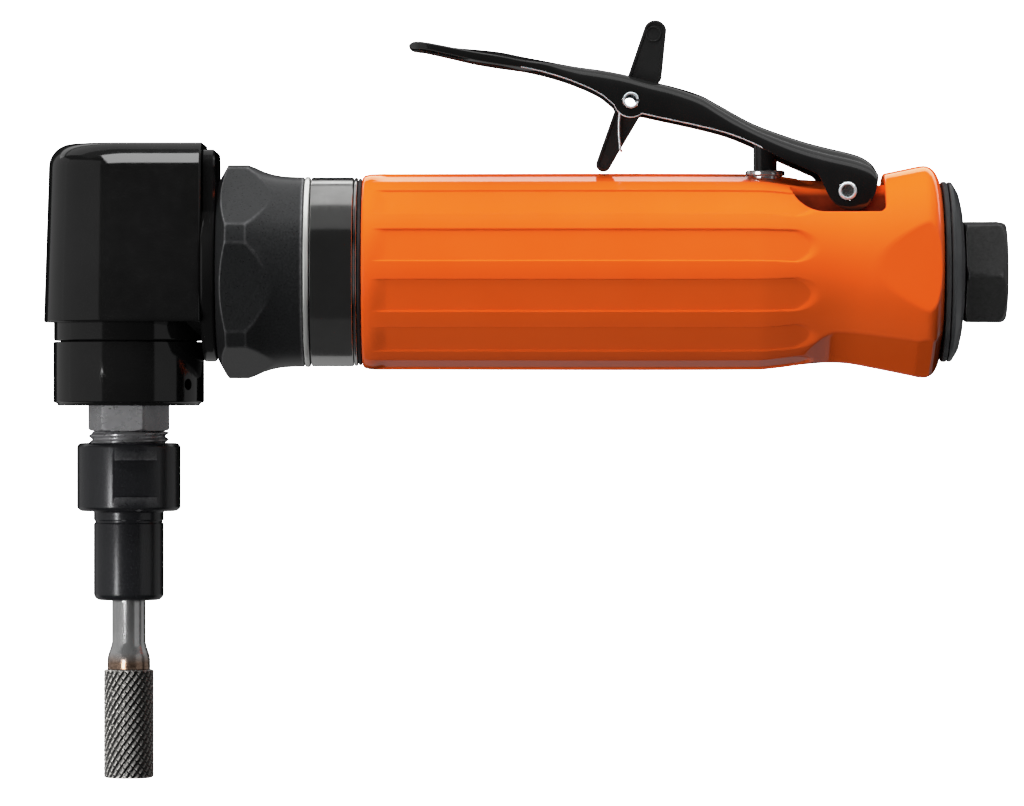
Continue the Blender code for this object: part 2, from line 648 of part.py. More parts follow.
def make_cylinder(end_plates):
    cylinder = ring("motor_cylinder", *CYLINDER, 8.0, MOTOR_OUTER, MOTOR_AXIS, GREY_STEEL)
    start, end = (CYLINDER[0] - 2, 0, CYLINDER_OFFSET), (CYLINDER[1] + 2, 0, CYLINDER_OFFSET)
    cut(
        cylinder,
        rod("cut_cylinder_bore", start, end, CYLINDER_BORE, BODY, sides=24),
        box("cut_exhaust_groove", (CYLINDER[0] + 6, -3, -16), (CYLINDER[1] + 2, 3, -13.4), BODY),
    )
    for i in range(3):
        x = CYLINDER[0] + 12 + 8 * i
        cut(cylinder, rod(f"cut_exhaust_port_{i}", (x, 0, -17), (x, 0, -9), 1.5, BODY, sides=10))
    across = 8.9
    for piece, (low, high) in zip((cylinder, *end_plates), (CYLINDER, FRONT_PLATE, REAR_PLATE)):
        start, end = (low - 1, across, across), (high + 1, across, across)
        if piece.name == "front_end_plate":
            start = (high - 3.0, across, across)
        if piece.name == "rear_end_plate":
            end = (low + 3.0, across, across)
        cut(piece, rod(f"cut_dowel_{piece.name}", start, end, 0.95 + FIT, BODY, sides=12))
    dowel_start, dowel_end = (FRONT_PLATE[1] - 2.7, across, across), (REAR_PLATE[0] + 2.7, across, across)
    rod("cylinder_dowel", dowel_start, dowel_end, 0.95, BODY, STEEL, sides=12)


def make_rotor():
    rotor = turned(
        "rotor",
        [(-52.0, 0), (-52.0, ROTOR_JOURNAL), (ROTOR[0], ROTOR_JOURNAL), (ROTOR[0], ROTOR_RADIUS)]
        + [(ROTOR[1], ROTOR_RADIUS), (ROTOR[1], ROTOR_JOURNAL), (4.0, ROTOR_JOURNAL), (4.0, 0)],
        MOTOR_AXIS,
        GREY_STEEL,
    )
    slot_half, vane_half = VANE_THICKNESS / 2 + 0.1, VANE_THICKNESS / 2
    for i in range(VANES):
        turn = Matrix.Rotation(2 * math.pi * i / VANES, 4, "X")
        slot_low = (ROTOR[0] - 1, -slot_half, VANE_INNER - 0.2)
        slot_high = (ROTOR[1] + 1, slot_half, ROTOR_RADIUS + 1)
        cut(rotor, box(f"cut_vane_slot_{i}", slot_low, slot_high, BODY, turn=turn))
        vane_low = (ROTOR[0] + 0.2, -vane_half, VANE_INNER)
        vane_high = (ROTOR[1] - 0.2, vane_half, VANE_OUTER)
        box(f"rotor_vane_{i + 1}", vane_low, vane_high, BODY, PHENOLIC, turn=turn)
    ring("drive_coupling", -60.0, -47.0, 3.1, 5.6, MOTOR_AXIS, GREY_STEEL)


# Bevel gears ----------------------------------------------------------------------
def bevel_teeth(name, teeth, mate_teeth, back, bore, first_tooth, frame, look):
    """A straight bevel gear with its apex at the frame's origin and its axis along the frame's Z."""
    pitch_angle = math.atan2(teeth, mate_teeth)
    pitch_radius = teeth * GEAR_MODULE / 2
    cone = pitch_radius / math.sin(pitch_angle)
    small = (cone - GEAR_FACE) / cone
    tip_height, root_depth = 0.75 * GEAR_MODULE, 1.15 * GEAR_MODULE
    tooth_pitch = 2 * math.pi / teeth
    # (share of the pitch from the tooth's middle, height above the pitch cone)
    shape = [(-0.27, -root_depth), (-0.115, tip_height), (0.115, tip_height), (0.27, -root_depth)]
    large_ring, small_ring, front_bore, back_bore, back_rim = [], [], [], [], []
    for i in range(teeth):
        for share, height in shape:
            angle = first_tooth + tooth_pitch * (i + share)
            radius = pitch_radius + height * math.cos(pitch_angle)
            along = cone * math.cos(pitch_angle) - height * math.sin(pitch_angle)
            spot = Vector((math.cos(angle), math.sin(angle), 0))
            large_ring.append(spot * radius + Vector((0, 0, along)))
            small_ring.append((spot * radius + Vector((0, 0, along))) * small)
            root_along = (cone * math.cos(pitch_angle) + root_depth * math.sin(pitch_angle)) * small
            front_bore.append(spot * bore + Vector((0, 0, root_along)))
            back_bore.append(spot * bore + Vector((0, 0, back)))
            rim = pitch_radius - root_depth * math.cos(pitch_angle)
            back_rim.append(spot * rim + Vector((0, 0, back)))
    bm = bmesh.new()
    loops = [front_bore, small_ring, large_ring, back_rim, back_bore]
    rows = [[bm.verts.new(p * MM) for p in loop] for loop in loops]
    count = len(large_ring)
    for row, after in zip(rows, rows[1:] + rows[:1]):
        for i in range(count):
            bm.faces.new((row[i], row[(i + 1) % count], after[(i + 1) % count], after[i]))
    bmesh.ops.triangulate(bm, faces=bm.faces)
    return finish_mesh(name, bm, frame, look)


PINION_JOURNAL = 3.9


def make_pinion():
    apex = axis_frame("pinion_apex", SPINDLE_X, 0, along_x=True)
    half_tooth = math.pi / PINION_TEETH
    pinion = bevel_teeth("bevel_pinion", PINION_TEETH, GEAR_TEETH, 10.6, 2.5, half_tooth, apex, STEEL)
    shaft = turned(
        "join_pinion_shaft",
        [(-94.3, 0), (-94.3, 3.0), (-90.6, 3.0), (-90.6, 5.0), (-88.8, 5.0), (-88.8, PINION_JOURNAL)]
        + [(-72.0, PINION_JOURNAL), (-72.0, 2.9), (-53.0, 2.9), (-53.0, 0)],
        MOTOR_AXIS,
        steps=14,
    )
    join(pinion, shaft)
    bearing("front_pinion_bearing", -88.6, 5.0, 4.1, 8.0, MOTOR_AXIS)
    bearing("rear_pinion_bearing", -79.0, 5.0, 4.1, 8.0, MOTOR_AXIS)
    ring("pinion_bearing_spacer", -83.4, -79.2, 4.1, 5.6, MOTOR_AXIS, STEEL)
    ring("pinion_retaining_ring", -73.8, -72.8, 6.9, 8.0, MOTOR_AXIS, STEEL)


# Coupling between handle and head -----------------------------------------------------
NUT_FACE, NUT_END = -82.9, -66.6
SLEEVE = (-72.5, -46.6)
BAND = (-65.2, -57.2)


def make_sleeve():
    turned(
        "clamp_sleeve",
        [(SLEEVE[0], 12.2), (SLEEVE[0], 15.3), (BAND[0], 15.3), (BAND[0], 17.75), (BAND[0] + 0.3, 17.95)]
        + [(BAND[1] - 0.3, 17.95), (BAND[1], 17.75), (BAND[1], MOTOR_OUTER), (SLEEVE[1], MOTOR_OUTER)]
        + [(SLEEVE[1], 12.2)],
        MOTOR_AXIS,
        STEEL,
        steps=28,
    )
    turned(
        "thrust_washer",
        [(-66.45, 15.5), (-66.45, 17.8), (-66.1, 18.1), (-65.75, 18.1), (-65.4, 17.8), (-65.4, 15.5)],
        MOTOR_AXIS,
        STEEL,
        steps=28,
    )
    ring("sleeve_edge_ring", -57.05, -56.45, 14.9, 17.9, MOTOR_AXIS, GREY_STEEL, steps=28)
    turned(
        "sleeve_seal_ring",
        [(-56.3, 14.95), (-56.3, 17.5), (-56.1, 17.75), (-55.85, 17.75), (-55.65, 17.5), (-55.65, 14.95)],
        MOTOR_AXIS,
        RUBBER,
        steps=28,
    )


def make_coupling_nut():
    lip_bore, thread_bore, lip_end = 13.2, 15.55, -76.6
    waist = [(-77.2, NUT_RADIUS), (-75.6, 19.65), (-74.0, 18.95), (-72.0, 18.4), (-70.0, 18.12)]
    nut = turned(
        "coupling_nut",
        [(NUT_FACE, lip_bore), (NUT_FACE, 16.9), (NUT_FACE + 0.15, 17.2), (-81.0, NUT_RADIUS)]
        + waist
        + [(NUT_END, 18.0), (NUT_END, thread_bore), (lip_end, thread_bore), (lip_end, lip_bore)],
        MOTOR_AXIS,
        BLACK,
        steps=32,
    )
    corner = elevation_to_local(NUT_CORNER_DEG)
    keep = hexagon("keep_nut_hex", NUT_FACE - 2, NUT_END + 2, NUT_FLATS, corner, MOTOR_AXIS)
    boolean(nut, "INTERSECT", keep)


# Angle head ---------------------------------------------------------------------------
def head_outline(z, inset):
    """The head seen from above at height z: a half round nose and straight sides back to the collar."""
    share = (z - HEAD_BASE) / (HEAD_TOP - HEAD_BASE)
    radius = HEAD_RADIUS_BASE + (HEAD_RADIUS_TOP - HEAD_RADIUS_BASE) * share - inset
    nose = arc(0, 0, radius, 90, 270, 16)
    rear = HEAD_REAR - SPINDLE_X
    return [(x, y, z) for x, y in nose] + [(rear, -radius, z), (rear, radius, z)]


def make_head():
    sections = [head_outline(HEAD_BASE, 0), head_outline(HEAD_TOP - HEAD_FILLET, 0)]
    steps = 4
    for i in range(1, steps + 1):
        turn = QUARTER * i / steps
        height = HEAD_TOP - HEAD_FILLET + HEAD_FILLET * math.sin(turn)
        sections.append(head_outline(height, HEAD_FILLET * (1 - math.cos(turn))))
    head = loft("angle_head", sections, SPINDLE_AXIS, GLOSS_BLACK)
    collar_top, collar_half, round_corner = 22.9, 13.0, 3.5
    top = arc(collar_half - round_corner, collar_top - round_corner, round_corner, 0, 90, 4)
    top += [(-y, z) for y, z in reversed(top)]
    outline = [(collar_half, -6)] + top + [(-collar_half, -6)]
    join(
        head,
        ring("join_boss", BOSS_BASE, HEAD_BASE + 4, 0, BOSS_RADIUS, SPINDLE_AXIS, steps=28),
        loft("join_collar_top", [[(x, y, z) for y, z in outline] for x in COLLAR], BODY),
        turned(
            "join_neck",
            [(-90, 0), (-90, 12.9), (COLLAR[0], 12.9), (COLLAR[0], COLLAR_RADIUS - 0.8)]
            + [(COLLAR[0] + 0.8, COLLAR_RADIUS), (COLLAR[1] - 0.8, COLLAR_RADIUS)]
            + [(COLLAR[1], COLLAR_RADIUS - 0.8), (COLLAR[1], 12.9), (-76.3, 12.9), (-76.3, 15.3)]
            + [(-73.0, 15.3), (-73.0, 12.0), (-72.7, 12.0), (-72.7, 0)],
            MOTOR_AXIS,
            steps=28,
        ),
    )
    cut(
        head,
        turned(
            "cut_gear_chamber",
            [(-20, 0), (-20, 13.25), (-7.5, 13.25), (-7.5, 11.2), (12.2, 11.2), (12.2, 7.65)]
            + [(18.4, 7.65), (18.4, 0)],
            SPINDLE_AXIS,
            steps=20,
        ),
        rod("cut_pinion_bore", (SPINDLE_X, 0, 0), (-70, 0, 0), 8.0 + 2 * FIT, BODY, sides=20),
    )


# Spindle, collet and burr ---------------------------------------------------------------
def make_spindle_cap():
    cap = turned(
        "spindle_cap",
        [(-25.4, 8.4), (-25.4, 13.5), (-24.8, 13.7), (-24.75, 14.3), (-13.3, 14.3), (-13.3, 12.9)]
        + [(-8.0, 12.9), (-8.0, 12.15), (-19.8, 12.15), (-19.8, 11.9), (-23.2, 11.9), (-23.2, 8.4)],
        SPINDLE_AXIS,
        GLOSS_BLACK,
        steps=28,
    )
    spanner_z, spanner_deg = -21.4, -35.0
    for degrees in (spanner_deg, spanner_deg + 180):
        x, y = math.cos(math.radians(degrees)), math.sin(math.radians(degrees))
        start, end = (x * 12.9, y * 12.9, spanner_z), (x * 16, y * 16, spanner_z)
        cut(cap, rod(f"cut_spanner_{degrees:.0f}", start, end, 1.1, SPINDLE_AXIS, sides=12))
    bearing("lower_spindle_bearing", -19.6, 6.0, 6.2, 12.0, SPINDLE_AXIS, 20)
    bearing("upper_spindle_bearing", 12.9, 5.0, 3.15, 7.5, SPINDLE_AXIS)
    ring("spindle_seal", -22.9, -20.1, 6.95, 11.75, SPINDLE_AXIS, RUBBER, steps=20)


def make_spindle():
    spindle = turned(
        "spindle",
        [(-45.0, 5.3), (-45.0, 7.3), (-44.4, 7.6), (-30.2, 7.6), (-30.0, 7.2), (-25.2, 7.2)]
        + [(-25.2, 6.8), (-19.9, 6.8), (-19.9, 6.0), (-11.0, 6.0), (-11.0, 4.0), (11.4, 4.0)]
        + [(11.4, 4.8), (12.6, 4.8), (12.6, 3.0), (17.9, 3.0), (17.9, 1.2), (-33.0, 1.2)]
        + [(-33.0, 4.3)],
        SPINDLE_AXIS,
        STEEL,
        steps=20,
    )
    hex_piece = hexagon("join_spindle_hex", -30.1, -25.0, SPINDLE_HEX_FLATS, SPINDLE_HEX_DEG, SPINDLE_AXIS)
    cut(hex_piece, rod("cut_hex_core", (0, 0, -33), (0, 0, -22), 5.0, SPINDLE_AXIS, sides=12))
    join(spindle, hex_piece)
    bevel_teeth("bevel_gear", GEAR_TEETH, PINION_TEETH, 11.2, 4.1, 0, SPINDLE_AXIS, STEEL)


def make_collet():
    collet = turned(
        "collet",
        [(-59.5, SHANK_RADIUS + FIT), (-59.5, 3.9), (-56.5, 5.0), (-45.2, 5.0), (-34.0, 4.1)]
        + [(-34.0, SHANK_RADIUS + FIT)],
        SPINDLE_AXIS,
        STEEL,
        steps=18,
    )
    for i in range(3):
        turn = Matrix.Rotation(2 * math.pi * i / 3, 4, "Z")
        low, high = (2.0, -0.3, -61), (6.0, 0.3, -40)
        cut(collet, box(f"cut_collet_slit_{i}", low, high, SPINDLE_AXIS, turn=turn))
    flat_low, flat_high, flat_at, flat_deg = -42.7, -35.7, 8.75, -77.7
    cap = turned(
        "collet_cap",
        [(-62.3, 3.6), (-62.3, 5.9), (-61.5, 6.65), (-47.6, 6.65), (-47.6, 6.4), (-47.2, 6.4)]
        + [(-47.2, 6.65), (-45.4, 6.65), (-45.4, 9.2), (-44.8, 9.85), (-33.0, 9.85), (-32.5, 9.4)]
        + [(-32.5, 7.8), (-45.3, 7.8), (-45.3, 5.2), (-56.5, 5.2), (-59.9, 4.0), (-59.9, 3.6)],
        SPINDLE_AXIS,
        BLACK,
        steps=24,
    )
    for degrees in (flat_deg, flat_deg + 180):
        turn = Matrix.Rotation(math.radians(degrees), 4, "Z")
        low, high = (flat_at, -8, flat_low), (14, 8, flat_high)
        cut(cap, box(f"cut_cap_flat_{degrees:.0f}", low, high, SPINDLE_AXIS, turn=turn))
    turned(
        "burr",
        [(BURR_TIP, 0), (BURR_TIP, BURR_RADIUS - 0.5), (BURR_TIP + 0.5, BURR_RADIUS)]
        + [(BURR_TOP - 0.3, BURR_RADIUS), (BURR_TOP, BURR_RADIUS - 0.3), (BURR_TOP, 4.05)]
        + [(-73.6, 4.05), (-72.2, 3.75), (-70.3, SHANK_RADIUS), (-38.5, SHANK_RADIUS)]
        + [(-38.0, SHANK_RADIUS - 0.5), (-38.0, 0)],
        SPINDLE_AXIS,
        CARBIDE,
        steps=20,
    )


make_handle()
make_lever()
make_lock()
make_valve()
make_inlet()
make_exhaust()
make_cylinder(make_end_plates())
make_rotor()
make_pinion()
make_sleeve()
make_coupling_nut()
make_head()
make_spindle_cap()
make_spindle()
make_collet()
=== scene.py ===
import json
import math

import bmesh
import bpy
import numpy as np
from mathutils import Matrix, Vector

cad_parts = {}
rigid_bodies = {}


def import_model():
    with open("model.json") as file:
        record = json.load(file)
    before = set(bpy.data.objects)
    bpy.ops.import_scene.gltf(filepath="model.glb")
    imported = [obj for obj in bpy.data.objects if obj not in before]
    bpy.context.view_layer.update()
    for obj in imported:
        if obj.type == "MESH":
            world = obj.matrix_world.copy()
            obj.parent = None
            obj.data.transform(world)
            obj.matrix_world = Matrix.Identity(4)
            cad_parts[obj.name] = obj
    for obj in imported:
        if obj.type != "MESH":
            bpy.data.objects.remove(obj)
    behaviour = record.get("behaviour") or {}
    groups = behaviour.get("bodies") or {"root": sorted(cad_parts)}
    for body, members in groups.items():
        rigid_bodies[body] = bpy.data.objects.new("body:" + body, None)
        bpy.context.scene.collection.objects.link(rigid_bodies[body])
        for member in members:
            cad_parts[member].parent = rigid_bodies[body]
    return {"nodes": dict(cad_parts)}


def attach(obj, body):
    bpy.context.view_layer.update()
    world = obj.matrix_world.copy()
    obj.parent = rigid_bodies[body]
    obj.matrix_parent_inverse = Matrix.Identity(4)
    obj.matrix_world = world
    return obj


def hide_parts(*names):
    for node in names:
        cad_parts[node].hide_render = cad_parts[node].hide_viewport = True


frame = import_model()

MM = 0.001
SPINDLE_X, STEM_X = -100.0, 20.9
LEVER_PIVOT, LOCK_PIVOT = (36.1, 15.1), (-4.75, 32.3)
# The bore that the lever's pin leaves, and a distance beyond everything
PIVOT_BORE, FAR = 1.9, 99.0
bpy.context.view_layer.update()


# --- Materials ---
def shader_tree(name, roughness, metallic=0.0, coat=0.0, specular=0.5):
    """A new material's nodes and links, with its Principled shader's plain numbers set on its own sockets."""
    made = bpy.data.materials.new(name)
    made.use_nodes = True
    shader = made.node_tree.nodes["Principled BSDF"]
    shader.inputs["Roughness"].default_value = roughness
    shader.inputs["Metallic"].default_value = metallic
    shader.inputs["Coat Weight"].default_value = coat
    shader.inputs["Coat Roughness"].default_value = 0.04
    shader.inputs["Specular IOR Level"].default_value = specular
    return made, made.node_tree, shader


def link(tree, out_socket, in_socket):
    tree.links.new(out_socket, in_socket)


def triple(value):
    """Three numbers, where one number stands for three that are the same."""
    return value if isinstance(value, tuple) else (value,) * 3


def stretched_coordinates(tree, scale):
    """Object coordinates times a scale, or times one scale for each axis."""
    place = tree.nodes.new("ShaderNodeTexCoord")
    mapping = tree.nodes.new("ShaderNodeMapping")
    mapping.inputs["Scale"].default_value = triple(scale)
    link(tree, place.outputs["Object"], mapping.inputs["Vector"])
    return mapping.outputs["Vector"]


def noise(tree, scale, detail=3.0, rough=0.6):
    """A noise value. Its scale is per metre."""
    node = tree.nodes.new("ShaderNodeTexNoise")
    node.inputs["Scale"].default_value = 1.0
    node.inputs["Detail"].default_value = detail
    node.inputs["Roughness"].default_value = rough
    link(tree, stretched_coordinates(tree, scale), node.inputs["Vector"])
    return node.outputs["Fac"]


def ramp(tree, value, low, high, start=0.3, end=0.7):
    """A colour or grey between two ends, as the value goes from start to end."""
    node = tree.nodes.new("ShaderNodeValToRGB")
    node.color_ramp.elements[0].position, node.color_ramp.elements[0].color = start, (*triple(low), 1)
    node.color_ramp.elements[1].position, node.color_ramp.elements[1].color = end, (*triple(high), 1)
    link(tree, value, node.inputs["Fac"])
    return node.outputs["Color"]


def mixed(tree, share, first, second):
    node = tree.nodes.new("ShaderNodeMix")
    node.data_type = "RGBA"
    link(tree, share, node.inputs[0])
    link(tree, first, node.inputs[6])
    link(tree, second, node.inputs[7])
    return node.outputs[2]


def mapped(tree, value, start, end, low=0.0, high=1.0, curve="LINEAR"):
    """From low to high as the value goes from start to end."""
    node = tree.nodes.new("ShaderNodeMapRange")
    node.interpolation_type = curve
    node.inputs["From Min"].default_value, node.inputs["From Max"].default_value = start, end
    node.inputs["To Min"].default_value, node.inputs["To Max"].default_value = low, high
    link(tree, value, node.inputs["Value"])
    return node.outputs["Result"]


def vary_roughness(tree, shader, value, low, high):
    link(tree, mapped(tree, value, 0.3, 0.7, low, high), shader.inputs["Roughness"])


def bump(tree, shader, value, strength, depth=0.0001, onto_coat=False):
    node = tree.nodes.new("ShaderNodeBump")
    node.inputs["Strength"].default_value = strength
    node.inputs["Distance"].default_value = depth
    link(tree, value, node.inputs["Height"])
    link(tree, node.outputs["Normal"], shader.inputs["Normal"])
    if onto_coat:
        link(tree, node.outputs["Normal"], shader.inputs["Coat Normal"])


def edges(tree, start, end):
    """From 0 on flat and hollow places to 1 on sharp outer edges."""
    geometry = tree.nodes.new("ShaderNodeNewGeometry")
    return ramp(tree, geometry.outputs["Pointiness"], 0, 1, start, end)


def height(tree):
    """The object coordinate along Z, in metres."""
    place = tree.nodes.new("ShaderNodeTexCoord")
    split = tree.nodes.new("ShaderNodeSeparateXYZ")
    link(tree, place.outputs["Object"], split.inputs[0])
    return split.outputs["Z"]


def distance(tree, scale):
    """How far a place is from the middle in metres, where each axis counts as much as its scale says."""
    length = tree.nodes.new("ShaderNodeVectorMath")
    length.operation = "LENGTH"
    link(tree, stretched_coordinates(tree, scale), length.inputs[0])
    return length.outputs["Value"]


# In metres: where the pocket's painted shade starts and is full, above the motor axis and in towards it
POCKET_SHADE_HEIGHT, POCKET_SHADE_DEPTH = (0.0085, 0.0115), (0.0173, 0.0161)
# In metres: where the shank's steel starts to turn to copper brown, and where it has
BRAZE_HEIGHT = (-0.0722, -0.0742)


def orange_gloss():
    """Glossy orange, with painted shade darkening the deep pocket that the lever turns in."""
    made, tree, shader = shader_tree("orange_gloss", 0.3, coat=0.9, specular=0.0)
    colour = ramp(tree, noise(tree, 60, 2.0), (0.9, 0.108, 0.012), (0.92, 0.116, 0.014))
    both = tree.nodes.new("ShaderNodeMath")
    both.operation = "MULTIPLY"
    link(tree, mapped(tree, height(tree), *POCKET_SHADE_HEIGHT, curve="SMOOTHSTEP"), both.inputs[0])
    link(tree, mapped(tree, distance(tree, (0, 1, 1)), *POCKET_SHADE_DEPTH, curve="SMOOTHSTEP"), both.inputs[1])
    # Painted shade: the deep pocket's colour is darkened where shadow falls.
    pocket_shade_colour = ramp(tree, noise(tree, 400), (0.16, 0.02, 0.006), (0.24, 0.03, 0.008))
    link(tree, mixed(tree, both.outputs[0], colour, pocket_shade_colour), shader.inputs["Base Color"])
    vary_roughness(tree, shader, noise(tree, 300), 0.27, 0.33)
    bump(tree, shader, noise(tree, 240, 1.0), 0.015, onto_coat=True)
    return made


def metal(name, low, high, roughness, lines, grain=0.08, metallic=1.0):
    """A machined metal: its grain runs across the axis that lines scales up."""
    made, tree, shader = shader_tree(name, roughness[0], metallic)
    turning = noise(tree, lines, 4.0)
    link(tree, ramp(tree, noise(tree, 140), low, high), shader.inputs["Base Color"])
    vary_roughness(tree, shader, turning, *roughness)
    bump(tree, shader, turning, grain, 0.00005)
    return made


def oxide(name, low, high, roughness, grain, specular=0.5, wear_and_highlight_from=0.53, wear_and_highlight_to=0.6):
    """Blackened steel with a fine satin grain and paler outer edges, partly wear and partly a painted edge highlight.
    """
    made, tree, shader = shader_tree(name, roughness[0], 0.35, specular=specular)
    fine = noise(tree, grain, 4.0, 0.7)
    colour = ramp(tree, fine, low, high)
    # Partly wear and partly a painted highlight: sharp outer edges are coloured paler, as if they catch the light.
    wear_and_highlight = ramp(tree, noise(tree, 1500), (0.05, 0.052, 0.054), (0.16, 0.16, 0.165))
    link(tree, mixed(tree, edges(tree, wear_and_highlight_from, wear_and_highlight_to), colour, wear_and_highlight), shader.inputs["Base Color"])
    vary_roughness(tree, shader, fine, *roughness)
    bump(tree, shader, fine, 0.07, 0.00004)
    return made


def enamel(name, low, high, roughness, specular):
    """Gloss black paint or moulded plastic with a faint drift of colour and a slightly uneven surface."""
    made, tree, shader = shader_tree(name, roughness[0], specular=specular)
    link(tree, ramp(tree, noise(tree, 90), low, high), shader.inputs["Base Color"])
    vary_roughness(tree, shader, noise(tree, 500), *roughness)
    bump(tree, shader, noise(tree, 420, 1.5), 0.04)
    return made


def carbide():
    made, tree, shader = shader_tree("ground_carbide", 0.42, 0.4)
    specks = noise(tree, 2600, 4.0, 0.75)
    colour = ramp(tree, specks, (0.04, 0.039, 0.037), (0.2, 0.197, 0.19), 0.35, 0.68)
    bright = ramp(tree, specks, (0.5, 0.49, 0.47), (0.9, 0.88, 0.84))
    link(tree, mixed(tree, edges(tree, 0.5, 0.56), colour, bright), shader.inputs["Base Color"])
    vary_roughness(tree, shader, noise(tree, 1800), 0.34, 0.6)
    bump(tree, shader, specks, 0.2, 0.00006)
    return made


def braze():
    """Bright shank steel that turns copper brown towards the brazed joint."""
    made, tree, shader = shader_tree("brazed_steel", 0.25, 0.88)
    steel = ramp(tree, noise(tree, 200), 0.6, 0.7)
    copper = ramp(tree, noise(tree, (900, 900, 1500)), (0.2, 0.12, 0.08), (0.5, 0.34, 0.25))
    browned = mapped(tree, height(tree), *BRAZE_HEIGHT)
    link(tree, mixed(tree, browned, steel, copper), shader.inputs["Base Color"])
    turning = noise(tree, (150, 150, 9000))
    vary_roughness(tree, shader, turning, 0.2, 0.24)
    bump(tree, shader, turning, 0.012, 0.00005)
    return made


# Noise scales of a turned part's fine lines, and of an even grain
ALONG_X, EVEN = (9000, 260, 260), 2200
ORANGE = orange_gloss()
HEAD_BLACK = enamel("head_black", 0.0045, 0.007, (0.07, 0.13), 0.5)
COVER_BLACK = enamel("cover_black", (0.014, 0.015, 0.016), (0.026, 0.027, 0.028), (0.28, 0.4), 0.4)
LEVER_BLACK = enamel("lever_black", 0.006, 0.009, (0.07, 0.13), 0.6)
# Painted highlight: the pale, nearly white lower lip of the lever stands in for the light that the sheet's edge
# catches.
LIP_PAINTED_HIGHLIGHT = metal("sheared_edge", (0.5, 0.64, 0.7), (0.78, 0.94, 1.0), (0.3, 0.5), 1500, 0.1, 0.1)
FLANGE_STEEL = metal("flange_steel", (0.76, 0.8, 0.82), (0.9, 0.94, 0.95), (0.1, 0.18), EVEN, 0.04, 0.85)
# Painted shade: a darker steel for the hollow in each end of the lever's pin, where shade falls.
BOWL_PAINTED_SHADE = metal("bowl_steel", (0.12, 0.13, 0.13), (0.3, 0.32, 0.32), (0.2, 0.35), EVEN, 0.05, 0.8)
PLASTIC = enamel("black_plastic", 0.009, 0.016, (0.4, 0.52), 0.4)
RUBBER = enamel("black_rubber_look", (0.01, 0.01, 0.011), 0.02, (0.55, 0.75), 0.3)
NUT_BLACK = oxide(
    "nut_oxide", (0.013, 0.0135, 0.014), (0.026, 0.027, 0.028), (0.26, 0.38), 2600, 0.7, wear_and_highlight_from=0.507, wear_and_highlight_to=0.54
)
COLLET_BLACK = oxide("collet_oxide", (0.012, 0.0125, 0.014), (0.025, 0.026, 0.029), (0.2, 0.27), 4200, 0.7)
INLET_BLACK = oxide("inlet_oxide", 0.012, 0.026, (0.34, 0.48), 2000)
SLEEVE_STEEL = metal("sleeve_steel", (0.64, 0.64, 0.63), (0.74, 0.74, 0.73), (0.1, 0.2), ALONG_X, 0.04)
RING_STEEL = metal("ring_steel", (0.72, 0.72, 0.7), (0.84, 0.84, 0.82), (0.12, 0.24), ALONG_X, 0.08, 0.6)
PIN_STEEL = metal("pin_steel", (0.62, 0.7, 0.73), (0.8, 0.88, 0.92), (0.12, 0.26), EVEN, 0.05, 0.4)
HEX_STEEL = metal("hex_steel", (0.28, 0.28, 0.29), (0.44, 0.44, 0.45), (0.26, 0.3), (500, 500, 900), 0.004, 0.7)
BURR_STEEL = braze()
CARBIDE = carbide()
BEARING_STEEL = metal("bearing_look", 0.5, 0.66, (0.15, 0.3), ALONG_X)
GEAR_STEEL = metal("gear_look", (0.32, 0.31, 0.3), (0.46, 0.45, 0.44), (0.28, 0.45), EVEN, 0.12)
IRON = metal("iron_look", 0.2, 0.34, (0.35, 0.55), EVEN, 0.15)
BRASS = metal("brass_look", (0.6, 0.4, 0.14), (0.78, 0.56, 0.24), (0.22, 0.4), EVEN)
FELT = enamel("felt_look", (0.12, 0.12, 0.11), (0.26, 0.26, 0.24), (0.9, 1.0), 0.2)
PHENOLIC = enamel("phenolic_look", (0.1, 0.045, 0.018), (0.2, 0.1, 0.04), (0.5, 0.65), 0.4)


# --- Mesh helpers ---
AXES = {
    # name: (origin, along, angle 0, angle 90)
    "motor": ((0, 0, 0), (1, 0, 0), (0, -1, 0), (0, 0, 1)),
    "spindle": ((SPINDLE_X, 0, 0), (0, 0, 1), (1, 0, 0), (0, 1, 0)),
    "stem": ((STEM_X, 0, 0), (0, 0, 1), (1, 0, 0), (0, 1, 0)),
    "lever_pin": ((LEVER_PIVOT[0], 0, LEVER_PIVOT[1]), (0, -1, 0), (1, 0, 0), (0, 0, 1)),
    "lock_pin": ((LOCK_PIVOT[0], 0, LOCK_PIVOT[1]), (0, -1, 0), (1, 0, 0), (0, 0, 1)),
}


def add_piece(name, points, faces, material, sharp_deg):
    """A new object from points and faces, smooth but for its edges that bend more than sharp_deg."""
    mesh = bpy.data.meshes.new(name)
    mesh.from_pydata((np.asarray(points, float) * MM).tolist(), [], faces)
    bm = bmesh.new()
    bm.from_mesh(mesh)
    bmesh.ops.recalc_face_normals(bm, faces=bm.faces)
    bm.to_mesh(mesh)
    bm.free()
    mesh.shade_smooth()
    mesh.set_sharp_from_angle(angle=math.radians(sharp_deg))
    obj = bpy.data.objects.new(name, mesh)
    bpy.context.scene.collection.objects.link(obj)
    if material is not None:
        mesh.materials.append(material)
    return obj


def finish_piece(obj, body, slot, *nodes):
    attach(obj, body)
    if nodes:
        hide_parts(*nodes)


# Degrees: a corner that bends less stays as it is
SOFT_BEND = 12


